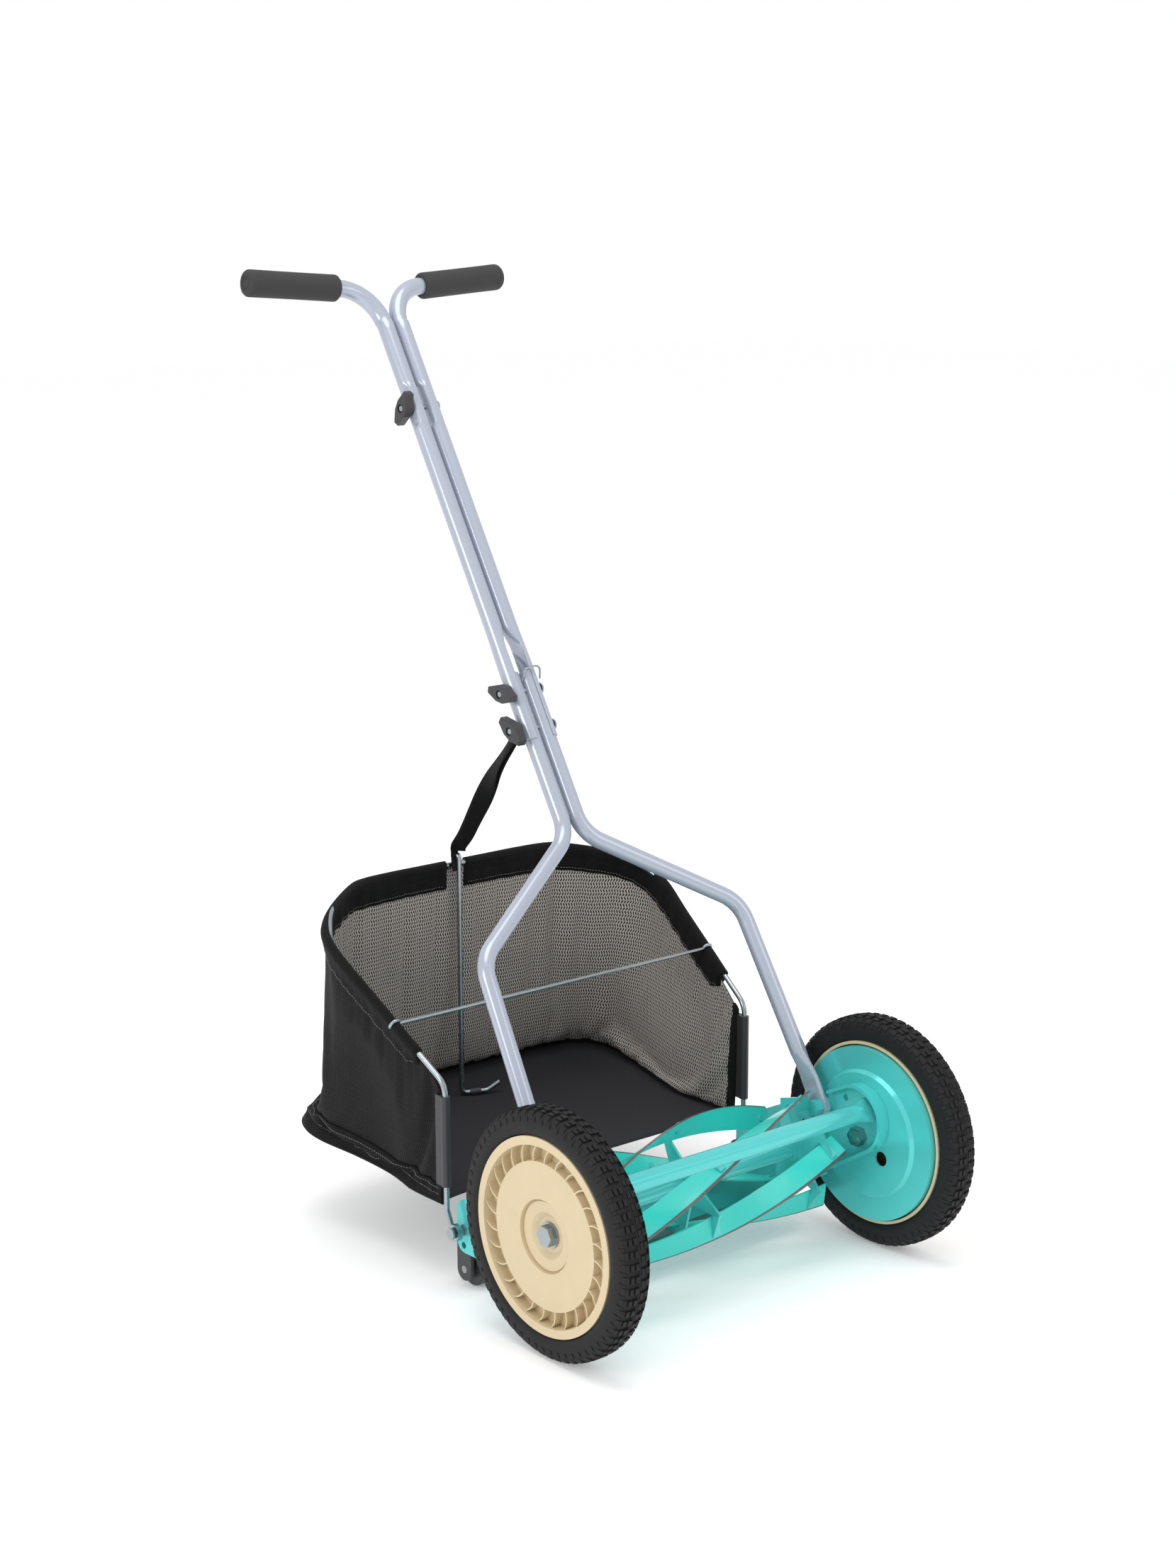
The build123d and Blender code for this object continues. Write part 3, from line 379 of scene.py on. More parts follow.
def weave_group() -> Tree:
    """A woven cloth: threads that cross, or slant one way and back in rows.

    Returns:
        The group.
    """
    inputs = {"Pitch": 2.0, "Row": 2.0, "Slant": 0.0}
    group, given, out = new_group("weave", inputs, ["Height", "Thread"])
    parts = group.nodes.new("ShaderNodeSeparateXYZ")
    group.links.new(given.outputs["Vector"], parts.inputs[0])
    across_mm = sum_node(group, "MULTIPLY", parts.outputs["X"], 1000.0)
    up_mm = sum_node(group, "MULTIPLY", parts.outputs["Y"], 1000.0)
    across = sum_node(group, "DIVIDE", across_mm, given.outputs["Pitch"])
    rows = sum_node(group, "DIVIDE", up_mm, given.outputs["Row"])
    swing = sum_node(group, "MULTIPLY", sum_node(group, "PINGPONG", rows, 1.0), given.outputs["Slant"])
    slanted = sum_node(group, "ADD", across, swing)
    warp = sum_node(group, "SINE", sum_node(group, "MULTIPLY", slanted, math.tau))
    weft = sum_node(group, "SINE", sum_node(group, "MULTIPLY", rows, math.tau))
    warp_height = sum_node(group, "ADD", sum_node(group, "MULTIPLY", warp, 0.5), 0.5)
    weft_height = sum_node(group, "ADD", sum_node(group, "MULTIPLY", weft, 0.3), 0.3)
    height = sum_node(group, "MAXIMUM", warp_height, weft_height)
    group.links.new(height, out.inputs["Height"])
    thread = sum_node(group, "MULTIPLY", sum_node(group, "SUBTRACT", height, 0.42), 4.0, True)
    group.links.new(thread, out.inputs["Thread"])
    return group


EDGE_WEAR = edge_wear_group()
GRAIN = grain_group()
DUST = dust_group()
WEAVE = weave_group()


# ---- finishes ------------------------------------------------------------------------
@dataclass(frozen=True)
class Finish:
    """A surface: its colours, gloss, grain, worn edges and dust.

    Colours are linear. Grain sizes are per metre and depths in metres.
    """

    name: str
    slot: str
    colour: Colour
    shade: Colour
    roughness: float = 0.5
    rough_spread: float = 0.1
    metallic: float = 0.0
    coat: float = 0.0
    grain_scale: float = 900.0
    grain_depth: float = 0.00003
    wear: float = 0.0
    wear_colour: Colour = (0.4, 0.4, 0.4)
    dust: float = 0.05
    dust_colour: Colour = (0.45, 0.43, 0.40)
    weave: tuple[float, float, float] | None = None
    weave_colour: Colour = (0.02, 0.02, 0.02)
    weave_depth: float = 0.0003
    sheen: float = 0.0
    specular: float = 0.5
    ground_edge: float = 0.0

    def material(self) -> bpy.types.Material:
        """Build the finish's material, or give the one already built.

        Returns:
            The material.
        """
        ready = bpy.data.materials.get(self.name)
        if ready:
            return ready
        material = bpy.data.materials.new(self.name)
        material.use_nodes = True
        tree = material.node_tree
        shader = tree.nodes["Principled BSDF"]
        shader.inputs["Coat Weight"].default_value = self.coat
        shader.inputs["Coat Roughness"].default_value = 0.08
        shader.inputs["Sheen Weight"].default_value = self.sheen
        shader.inputs["Metallic"].default_value = self.metallic
        shader.inputs["Specular IOR Level"].default_value = self.specular
        where = tree.nodes.new("ShaderNodeTexCoord").outputs["Object"]
        grain = self.use(tree, GRAIN, where, {"Scale": self.grain_scale})
        colour = self.mix(tree, grain.outputs["Shade"], self.colour, self.shade)
        height = sum_node(tree, "MULTIPLY", grain.outputs["Height"], self.grain_depth * 1000)
        if self.weave:
            cloth = tree.nodes.new("ShaderNodeUVMap")
            cloth.uv_map = "cloth"
            pitch, row, slant = self.weave
            woven = self.use(tree, WEAVE, cloth.outputs[0], {"Pitch": pitch, "Row": row, "Slant": slant})
            colour = self.mix(tree, woven.outputs["Thread"], self.weave_colour, colour)
            threads = sum_node(tree, "MULTIPLY", woven.outputs["Height"], self.weave_depth * 1000)
            height = sum_node(tree, "ADD", height, threads)
        uneven = sum_node(tree, "MULTIPLY", grain.outputs["Shade"], self.rough_spread)
        rough = sum_node(tree, "ADD", uneven, self.roughness - self.rough_spread / 2)
        if self.ground_edge:
            colour, rough = self.grind(tree, where, colour, rough)
        if self.wear:
            worn = self.use(tree, EDGE_WEAR, where, {"Amount": self.wear})
            colour = self.mix(tree, worn.outputs["Mask"], colour, self.wear_colour)
        dust = self.use(tree, DUST, where, {"Amount": self.dust})
        colour = self.mix(tree, dust.outputs["Mask"], colour, self.dust_colour)
        rough = sum_node(tree, "ADD", rough, sum_node(tree, "MULTIPLY", dust.outputs["Mask"], 0.4), True)
        bump = tree.nodes.new("ShaderNodeBump")
        bump.inputs["Distance"].default_value = MM
        tree.links.new(height, bump.inputs["Height"])
        tree.links.new(colour, shader.inputs["Base Color"])
        tree.links.new(rough, shader.inputs["Roughness"])
        tree.links.new(bump.outputs[0], shader.inputs["Normal"])
        return material

    def use(
        self, tree: Tree, group: Tree, where: Socket, values: dict[str, float]
    ) -> bpy.types.Node:
        """Place a node group in the material with its own values.

        Args:
            tree: the material's nodes.
            group: the shared group.
            where: the coordinates that it works from.
            values: what its other inputs are set to.

        Returns:
            The group's node.
        """
        node = tree.nodes.new("ShaderNodeGroup")
        node.node_tree = group
        tree.links.new(where, node.inputs["Vector"])
        for label, value in values.items():
            node.inputs[label].default_value = value
        return node

    def mix(self, tree: Tree, factor: Socket, low: object, high: object) -> Socket:
        """Mix two colours, each a socket or a plain colour, by a mask.

        Args:
            tree: the material's nodes.
            factor: the mask, from 0 for low to 1 for high.
            low: the first colour.
            high: the second colour.

        Returns:
            The mixed colour's socket.
        """
        node = tree.nodes.new("ShaderNodeMix")
        node.data_type = "RGBA"
        tree.links.new(factor, node.inputs["Factor"])
        for socket, value in ((node.inputs[6], low), (node.inputs[7], high)):
            if isinstance(value, Socket):
                tree.links.new(value, socket)
            else:
                socket.default_value = (*value, 1.0)
        return node.outputs[2]

    def grind(self, tree: Tree, where: Socket, colour: Socket, rough: Socket) -> tuple[Socket, Socket]:
        """Bare the blades' outermost edge, by its distance from the reel's axis.

        Args:
            tree: the material's nodes.
            where: the coordinates.
            colour: the colour so far.
            rough: the roughness so far.

        Returns:
            The new colour and roughness.
        """
        parts = tree.nodes.new("ShaderNodeSeparateXYZ")
        tree.links.new(where, parts.inputs[0])
        axis = place(*REEL_AXIS)
        y = sum_node(tree, "POWER", sum_node(tree, "SUBTRACT", parts.outputs["Y"], axis.y), 2.0)
        z = sum_node(tree, "POWER", sum_node(tree, "SUBTRACT", parts.outputs["Z"], axis.z), 2.0)
        reach = sum_node(tree, "SQRT", sum_node(tree, "ADD", y, z))
        bare = sum_node(tree, "MULTIPLY", sum_node(tree, "SUBTRACT", reach, self.ground_edge), 3000.0, True)
        smoother = sum_node(tree, "SUBTRACT", rough, sum_node(tree, "MULTIPLY", bare, 0.05))
        return self.mix(tree, bare, colour, self.wear_colour), smoother

    def dress(self, *nodes: str) -> None:
        """Give the finish to CAD nodes that stay in view."""
        for node in nodes:
            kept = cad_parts[node]
            kept.data.materials.clear()
            kept.data.materials.append(self.material())
            log.info("dressed %s in %s", node, self.name)

    def finish_piece(self, obj: Piece, body: str, *replaced: str) -> Piece:
        """Give the finish to a new piece, attach it to the body that it rides on, and hide the CAD nodes that
        it stands for.

        Args:
            obj: the piece.
            body: the body that it rides on.
            replaced: the CAD nodes that it stands for.

        Returns:
            The piece.
        """
        if not obj.data.materials:
            obj.data.materials.append(self.material())
        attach(obj, body)
        if replaced:
            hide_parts(*replaced)
        log.info("built %s on %s", obj.name, body)
        return obj


CREAM = Finish(
    "cream_plastic", "wheel_cream", (0.66, 0.545, 0.355), (0.60, 0.49, 0.31), 0.46, 0.10,
    grain_scale=1500, grain_depth=0.00002, dust=0.03, specular=0.4,
)
RUBBER = Finish(
    "tyre_rubber", "tyre", (0.009, 0.009, 0.0095), (0.016, 0.016, 0.0165), 0.58, 0.16,
    grain_scale=2200, grain_depth=0.00004, dust=0.06, dust_colour=(0.05, 0.05, 0.05), specular=0.22,
)
TURQUOISE = Finish(
    "turquoise_paint", "turquoise_paint", (0.035, 0.70, 0.62), (0.03, 0.63, 0.56), 0.30, 0.08, coat=0.35,
    grain_scale=420, grain_depth=0.00004, wear=0.5, wear_colour=(0.16, 0.15, 0.13), dust=0.04,
)
BLADE_PAINT = Finish(
    "blade_paint", "turquoise_paint", (0.035, 0.70, 0.62), (0.03, 0.61, 0.54), 0.32, 0.08, coat=0.3,
    grain_scale=420, grain_depth=0.00004, wear=0.3, wear_colour=(0.10, 0.095, 0.09), dust=0.04,
    ground_edge=0.0655,
)
TUBE = Finish(
    "tube_paint", "tube_paint", (0.078, 0.094, 0.142), (0.068, 0.083, 0.126), 0.28, 0.06,
    coat=0.15, specular=0.35, grain_scale=500, grain_depth=0.00003,
    wear=0.2, wear_colour=(0.30, 0.30, 0.30), dust=0.03,
)
ZINC = Finish(
    "zinc_plate", "zinc", (0.40, 0.44, 0.46), (0.31, 0.345, 0.37), 0.26, 0.16, metallic=1.0,
    grain_scale=700, grain_depth=0.00003, dust=0.04,
)
STEEL = Finish(
    "ground_steel", "steel", (0.42, 0.42, 0.42), (0.30, 0.29, 0.28), 0.34, 0.16, metallic=1.0,
    grain_scale=1100, grain_depth=0.00004, dust=0.05,
)
BRONZE = Finish(
    "oiled_bronze", "bronze", (0.50, 0.30, 0.12), (0.38, 0.22, 0.09), 0.36, 0.14, metallic=1.0,
    grain_scale=1200, grain_depth=0.00004,
)
BLACK = Finish(
    "black_plastic", "black_plastic", (0.004, 0.004, 0.0045), (0.008, 0.008, 0.0085), 0.40, 0.12,
    grain_scale=1600, grain_depth=0.00003, dust=0.01, specular=0.22,
)
FOAM = Finish(
    "grip_foam", "grip_foam", (0.006, 0.006, 0.0065), (0.013, 0.013, 0.0135), 0.80, 0.12,
    grain_scale=3200, grain_depth=0.00016, dust=0.02, sheen=0.03, specular=0.12,
)
MESH_OUT = Finish(
    "mesh_outside", "mesh_fabric", (0.011, 0.011, 0.011), (0.018, 0.0175, 0.017), 0.62, 0.14,
    grain_scale=600, weave=(2.6, 3.2, 0.55), weave_colour=(0.001, 0.001, 0.001),
    weave_depth=0.0004, dust=0.01, sheen=0.02, specular=0.12,
)
MESH_IN = Finish(
    "mesh_inside", "mesh_fabric", (0.60, 0.545, 0.50), (0.46, 0.415, 0.38), 0.68, 0.14,
    grain_scale=600, weave=(3.0, 4.2, 0.6), weave_colour=(0.006, 0.0055, 0.005),
    weave_depth=0.0005, dust=0.02, specular=0.25,
)
BINDING = Finish(
    "binding_tape", "mesh_fabric", (0.006, 0.006, 0.006), (0.013, 0.013, 0.013), 0.66, 0.14,
    grain_scale=900, weave=(1.9, 2.4, 0.5), weave_colour=(0.001, 0.001, 0.001),
    weave_depth=0.0005, dust=0.01, sheen=0.02, specular=0.12,
)
THREAD = Finish(
    "stitching", "mesh_fabric", (0.10, 0.10, 0.10), (0.20, 0.20, 0.20), 0.5, 0.1,
    grain_scale=3000, grain_depth=0.00002,
)
FLOOR_SHEET = Finish(
    "floor_sheet", "floor_sheet", (0.004, 0.004, 0.0042), (0.007, 0.007, 0.0073), 0.52, 0.14,
    grain_scale=1400, grain_depth=0.00006, dust=0.01, specular=0.12,
)
WEBBING = Finish(
    "strap_webbing", "webbing", (0.008, 0.008, 0.008), (0.016, 0.016, 0.016), 0.64, 0.12,
    grain_scale=900, weave=(2.0, 1.4, 1.0), weave_colour=(0.001, 0.001, 0.001),
    weave_depth=0.0004, dust=0.01, sheen=0.02, specular=0.12,
)


# ---- ground drive --------------------------------------------------------------------
@dataclass
class Tyre:
    """A solid rubber tyre with a carcass, small tread blocks and a mould line.

    Sizes are millimetres; across is measured from the tyre's middle.
    """

    side: int
    middle: float = 226.5
    crown: float = 127.0
    floor: float = 124.3
    blocks: int = 64
    steps: int = 176
    rows: tuple[Point, ...] = (
        (-11.2, -6.5, 0.0), (-5.7, -1.1, 0.0), (1.1, 5.7, 0.5), (6.5, 11.2, 0.5),
    )

    def profile(self) -> list[tuple[float, float]]:
        """The carcass' closed section, from the seat round one sidewall to the other.

        Returns:
            (across, radius) pairs in millimetres.
        """
        half = [
            (11.0, 100.6), (15.6, 101.2), (17.1, 103.6), (17.4, 108.5), (17.0, 114.0), (16.2, 118.6),
            (14.6, 121.8), (12.0, 123.5), (6.0, 124.2), (1.0, self.floor), (0.45, 126.8),
        ]
        return [(-a, r) for a, r in half] + [(a, r) for a, r in reversed(half)]

    def block(self, skin: Skin, ends: Pair, angle: float, span: float, low: Pair, high: Pair) -> None:
        """Add one tread block.

        Args:
            skin: the tyre's points and faces so far.
            ends: its two sides, across the tyre.
            angle: its middle, round the tyre.
            span: half its length, round the tyre.
            low: the radius under each side.
            high: the radius on top at each side.
        """
        def at(across: float, turn: float, radius: float) -> Vector:
            """A point on the tyre."""
            along, rise = radius * math.cos(turn), radius * math.sin(turn)
            return place(self.side * (self.middle + across), along, AXLE_HEIGHT + rise)

        a, b = ends
        trim = 0.35 if b > a else -0.35
        slim = span * 0.84
        corners = []
        for edge, half, radii in ((0.0, span, low), (trim, slim, high)):
            corners += [at(a + edge, angle - half, radii[0]), at(b - edge, angle - half, radii[1])]
            corners += [at(b - edge, angle + half, radii[1]), at(a + edge, angle + half, radii[0])]
        add_block(*skin, corners)

    def build(self, body: str, node: str) -> None:
        """Make the tyre and seat it on its wheel.

        Args:
            body: the body that the tyre rides on.
            node: the CAD tyre that it stands for.
        """
        profile = [((self.middle + a) * MM * self.side, r * MM) for a, r in self.profile()]
        verts, faces = lathe(profile, place(0.0, 0.0, AXLE_HEIGHT), Vector((1, 0, 0)), self.steps)
        pitch = math.tau / self.blocks
        for k in range(self.blocks):
            for start, end, offset in self.rows:
                crown = self.crown - 0.012 * ((start + end) / 2) ** 2
                turn = (k + offset) * pitch
                self.block((verts, faces), (start, end), turn, pitch * 0.29, (122.8, 122.8), (crown, crown))
            for sign in (-1, 1):
                for ends, turn, span, low, high in (
                    ((12.0, 16.2), (k + 0.5) * pitch, pitch * 0.34, (121.6, 116.6), (125.2, 121.6)),
                    ((14.4, 17.45), k * pitch, pitch * 0.17, (119.6, 114.6), (122.4, 118.2)),
                ):
                    across = (sign * ends[0], sign * ends[1])
                    self.block((verts, faces), across, turn, span, low, high)
        tyre = piece(f"tread_{node}", verts, faces, smooth=False)
        carcass = len(profile) * self.steps
        tyre.data.polygons.foreach_set("use_smooth", [i < carcass for i in range(len(tyre.data.polygons))])
        RUBBER.finish_piece(tyre, body, node)


@dataclass
class GroundDrive:
    """The two wheels with their tyres, axle hardware and pinions."""

    plated: tuple[str, ...] = ("axle_nuts", "axle_spacers", "shaft_clips")

    def build(self) -> None:
        """Dress the wheels' hard pieces and make their tyres."""
        for side in Side:
            CREAM.dress(f"wheel_{side.label}")
            ZINC.dress(f"axle_bolt_{side.label}")
            STEEL.dress(f"pinion_{side.label}")
            Tyre(side.value).build(f"wheel_{side.label}_body", f"tyre_{side.label}")
        ZINC.dress(*self.plated)
        STEEL.dress("drive_keys")


# ---- reel and chassis ----------------------------------------------------------------
@dataclass
class CuttingReel:
    """The reel's shaft, spiders, five blades and the fixed knife below it."""

    spiders: int = 3

    def build(self) -> None:
        """Dress the reel's and cutter's pieces."""
        BLADE_PAINT.dress("reel_blades")
        TURQUOISE.dress("reel_shaft", "blade_rivets", *[f"reel_spider_{k + 1}" for k in range(self.spiders)])
        TURQUOISE.dress("cutter_bar")
        STEEL.dress("bed_knife")
        ZINC.dress("cutter_bar_fasteners")


@dataclass
class Chassis:
    """The painted side plates, covers, brackets and tie bar, with the rear roller."""

    painted: tuple[str, ...] = ("tie_bar", "tie_bar_rivets", "handle_pivot_bolts", "handle_pivot_spacers")

    def build(self) -> None:
        """Dress the chassis' pieces."""
        for side in Side:
            plates = ("side_plate", "gear_cover", "bearing_bracket")
            TURQUOISE.dress(*[f"{part}_{side.label}" for part in plates])
            BRONZE.dress(f"bearing_bush_{side.label}")
            BLACK.dress(f"roller_bracket_{side.label}")
        TURQUOISE.dress(*self.painted)
        BLACK.dress("rear_roller")
        STEEL.dress("roller_spindle")
        ZINC.dress("roller_bracket_bolts", "catcher_pins")


# ---- handle --------------------------------------------------------------------------
@dataclass
class Handle:
    """The two-part tube handle with its foam grips, wing knobs and bolts.

    Sizes are millimetres.
    """

    tube_x: float = 10.5
    grip_corner: tuple[float, float] = (580.0, 1010.2)
    grip_slope: tuple[float, float] = (0.0435, 0.0696)
    grip_span: tuple[float, float] = (57.5, 172.5)
    grip_radius: float = 15.0
    tube_radius: float = 9.6
    shell_radius: float = 10.65
    shell_z: tuple[float, float] = (541.0, 611.0)
    pinch_z: tuple[float, float] = (866.0, 905.0)
    pinch_half: float = 7.0
    bend: float = 48.0

    def on_grip(self, x: float, side: int) -> Vector:
        """A point on a grip's centre line.

        Args:
            x: the distance from the handle's middle, in millimetres.
            side: 1 for the left, -1 for the right.

        Returns:
            The point in the frame.
        """
        reach = x - self.tube_x
        back, up = (corner + slope * reach for corner, slope in zip(self.grip_corner, self.grip_slope))
        return place(side * x, back, up)

    def grip(self, name: str, side: int) -> None:
        """Make one foam grip: a soft tube with rolled ends and a sunk plug ring.

        Args:
            name: the side's name.
            side: 1 for the left, -1 for the right.
        """
        start, end = (self.on_grip(x, side) for x in self.grip_span)
        length = (end - start).length / MM
        r, bore = self.grip_radius, self.tube_radius + 0.15
        profile = [(0.2, bore), (0.0, r - 3.4), (0.5, r - 2.0), (2.6, r - 0.3), (4.0, r - 0.05)]
        for k in range(1, 18):
            profile.append((4.0 + (length - 9.0) * k / 18, r - 0.05 - 0.18 * math.sin(math.pi * k / 18)))
        rolled_end = (
            (5.0, 0.05), (3.0, 0.35), (1.2, 1.6), (0.25, 3.6), (0.0, 5.4),
            (0.4, 6.6), (1.6, 7.2), (1.6, 9.2), (0.8, 10.2),
        )
        profile += [(length - short, r - sunk) for short, sunk in rolled_end]
        profile += [(length - 0.8, 0.6), (length - 3.6, 0.6), (length - 3.6, bore)]
        verts, faces = lathe([(a * MM, b * MM) for a, b in profile], start, end - start, 64)
        foam = piece(f"foam_{name}", verts, faces)
        FOAM.finish_piece(foam, "handle", f"grip_{name}")

    def section(self, z: float, steps: int = 48) -> list[tuple[float, float]]:
        """The upper tube's section at a height: round, pinched flat, or opened into a shell.

        Args:
            z: the height.
            steps: how many points go round.

        Returns:
            (outward, forward) pairs in millimetres.
        """
        def ease(low: float, high: float) -> float:
            """A smooth step from 0 at low to 1 at high."""
            t = min(max((z - low) / (high - low), 0.0), 1.0)
            return t * t * (3 - 2 * t)

        opened = 1.0 - ease(self.shell_z[1], self.shell_z[1] + 46.0)
        low, high = self.pinch_z
        pinch = ease(low - 4.0, low + 1.5) * (1.0 - ease(high - 1.5, high + 4.0))
        outer = self.tube_radius + (self.shell_radius - self.tube_radius) * opened
        points = []
        for k in range(steps):
            turn = math.tau * (k + 0.5) / steps
            c, d = math.cos(turn), math.sin(turn)
            a, b = outer * c, outer * d
            if c < 0:
                inner = self.shell_radius - 1.5
                a = a * (1 - opened) - inner * c * opened
                b = b * (1 - opened) + inner * d * opened
            flat = math.copysign(abs(c) ** 0.45, c) * self.pinch_half
            a = a * (1 - pinch) + flat * pinch
            points.append((a, b * (1 + 0.05 * pinch)))
        return points

    def upper_tube(self, name: str, side: int) -> None:
        """Make one upper tube, from its opened lower end to inside its grip.

        Args:
            name: the side's name.
            side: 1 for the left, -1 for the right.
        """
        up = Vector((0.0, 1.0, HANDLE_SLOPE)).normalized()
        away = (self.on_grip(self.grip_span[1], side) - self.on_grip(self.tube_x, side)).normalized()
        corner = self.on_grip(self.tube_x, side)
        reach = self.bend * MM * math.tan(up.angle(away) / 2)
        bottom = place(side * self.tube_x, handle_y(self.shell_z[0]), self.shell_z[0])
        straight = (corner - up * reach - bottom).length
        stops = [0.0]
        while stops[-1] < straight:
            z = (bottom + up * stops[-1]).z / MM
            fine = z < self.shell_z[1] + 52.0 or self.pinch_z[0] - 8.0 < z < self.pinch_z[1] + 8.0
            stops.append(min(stops[-1] + (1.6 if fine else 12.0) * MM, straight))
        out = Vector((float(side), 0.0, 0.0))
        front = up.cross(out).normalized() * -side
        sections = []
        for centre in [bottom + up * stop for stop in stops]:
            sections.append([centre + (out * a + front * b) * MM for a, b in self.section(centre.z / MM)])
        hub = corner - up * reach + (away - up * away.dot(up)).normalized() * self.bend * MM
        spin = up.cross(away).normalized()
        whole = up.angle(away)
        round_part = self.section(800.0)
        for k in range(1, 19):
            turn = Matrix.Rotation(whole * k / 18, 3, spin)
            centre = hub + turn @ (corner - up * reach - hub)
            sections.append([centre + turn @ (out * a + front * b) * MM for a, b in round_part])
        turn = Matrix.Rotation(whole, 3, spin)
        centre = self.on_grip(self.grip_span[1] - 4.0, side)
        sections.append([centre + turn @ (out * a + front * b) * MM for a, b in round_part])
        verts, faces = loft(sections)
        TUBE.finish_piece(piece(f"formed_tube_{name}", verts, faces), "handle", f"upper_tube_{name}")

    def build(self) -> None:
        """Dress the tubes and hardware, and make the upper tubes and the grips."""
        for side in Side:
            TUBE.dress(f"lower_tube_{side.label}")
            self.upper_tube(side.label, side.value)
            self.grip(side.label, side.value)
        ZINC.dress("handle_bolts", "wire_clip")
        BLACK.dress("wing_knob_upper", "wing_knob_mid", "wing_knob_low")


# ---- grass catcher -------------------------------------------------------------------
@dataclass
class GrassCatcher:
    """The bent wire frame with its mesh bag, floor sheet, bindings and strap.

    Stations go from the front edge on one side round to the middle of the back, each with
    the wall's foot and its head, in millimetres from the axles.
    """

    foot: tuple[Point, ...] = (
        (206.0, 209.0, 92.0), (201.0, 250.0, 93.0), (193.0, 305.0, 96.0), (199.0, 360.0, 102.0),
        (210.0, 415.0, 108.0), (207.0, 447.0, 112.0), (188.0, 470.0, 114.0), (150.0, 481.0, 114.0),
        (75.0, 486.0, 113.0), (0.0, 487.0, 113.0),
    )
    head: tuple[Point, ...] = (
        (209.0, 206.0, 216.0), (214.0, 247.0, 251.0), (221.0, 305.0, 290.0), (227.5, 352.0, 322.0),
        (224.0, 384.0, 343.0), (209.0, 405.0, 354.0), (184.0, 424.0, 361.0), (142.0, 449.0, 367.0),
        (72.0, 456.0, 369.0), (0.0, 457.0, 369.0),
    )
    wire: tuple[Point, ...] = (
        (215.0, 236.0, 248.8), (219.0, 265.0, 268.0), (225.5, 316.0, 301.7), (230.5, 352.0, 326.0),
        (228.5, 376.0, 340.0), (217.0, 397.0, 350.0), (190.0, 419.5, 361.0), (150.0, 445.0, 369.5),
        (128.0, 453.0, 371.5), (90.0, 455.4, 372.0), (45.0, 455.5, 372.0), (14.0, 455.5, 372.0),
    )
    columns: int = 151
    levels: tuple[float, ...] = (
        *(0.0, 0.022, 0.045, 0.068, 0.092, 0.12, 0.155), *(0.19 + 0.81 * k / 30 for k in range(31)),
    )
    hem_rows: int = 5
    middle: Point = (0.0, 330.0, 230.0)

    def round_bag(self, half: Sequence[Point], count: int) -> list[Vector]:
        """Points round the bag at one height, from the left front to the right front."""
        points = [place(*p) for p in half] + [place(-p[0], p[1], p[2]) for p in reversed(half[:-1])]
        return evenly(points, count)

    def outward(self, along: Vector, at: Vector) -> Vector:
        """The level way out of the bag, square to a line.

        Args:
            along: the line's direction.
            at: where it is.

        Returns:
            The way, of length one.
        """
        out = Vector((along.y, -along.x, 0)).normalized()
        return out if out.dot(at - place(*self.middle)) > 0 else -out

    def wall_grid(self) -> list[list[Vector]]:
        """The wall's columns of points, flared at the foot and slack in the middle.

        Returns:
            The columns, from the left front edge round to the right, each from foot to head.
        """
        feet, heads = self.round_bag(self.foot, self.columns), self.round_bag(self.head, self.columns)
        grid = []
        for c, (foot, head) in enumerate(zip(feet, heads)):
            before, after = feet[max(c - 1, 0)], feet[min(c + 1, self.columns - 1)]
            run = (after - before).normalized()
            out = self.outward(run, foot)
            free = min(1.0, min(c, self.columns - 1 - c) / 9)
            column = []
            for v in self.levels:
                flare = 9.0 * math.exp(-v / 0.055) - 3.0 * math.sin(math.pi * min(v * 1.15, 1.0))
                at = foot.lerp(head, v)
                ripple = noise.noise(Vector((at.x * 15, at.y * 15, at.z * 5))) * 4.6
                column.append(at + out * (flare + ripple * math.sin(math.pi * v)) * MM * free)
            grid.append(column)
        return grid

    def hang(self, obj: Piece, held: Sequence[int]) -> None:
        """Let the cloth sag between its held edges, and keep the result.

        Args:
            obj: the wall, as one skin.
            held: the numbers of its points that stay where they are.
        """
        before = [v.co.copy() for v in obj.data.vertices]
        group = obj.vertex_groups.new(name="held")
        group.add(list(held), 1.0, "REPLACE")
        cloth = obj.modifiers.new("Cloth", "CLOTH")
        cloth.settings.quality = 6
        cloth.settings.mass = 0.15
        cloth.settings.tension_stiffness = 18
        cloth.settings.compression_stiffness = 6
        cloth.settings.shear_stiffness = 4
        cloth.settings.bending_stiffness = 0.4
        cloth.settings.shrink_min = -0.022
        cloth.settings.vertex_group_mass = "held"
        cloth.collision_settings.use_collision = False
        cloth.point_cache.frame_start = 1
        cloth.point_cache.frame_end = CLOTH_FRAMES
        scene = bpy.context.scene
        for step in range(1, CLOTH_FRAMES + 1):
            scene.frame_set(step)
        apply_modifiers(obj)
        scene.frame_set(1)
        for vertex, start in zip(obj.data.vertices, before):
            moved = vertex.co - start
            limit = SAG_LIMIT * MM
            if moved.length > limit:
                vertex.co = start + moved * (limit / moved.length)
        obj.vertex_groups.clear()

    def add_cloth_map(self, obj: Piece, across: Sequence[float], up: Sequence[float]) -> None:
        """Give a piece its flat cloth coordinates, in metres, one pair for each point.

        Args:
            obj: the piece.
            across: each point's place along the cloth.
            up: each point's place up the cloth.
        """
        layer = obj.data.uv_layers.new(name="cloth")
        for loop in obj.data.loops:
            layer.data[loop.index].uv = (across[loop.vertex_index], up[loop.vertex_index])

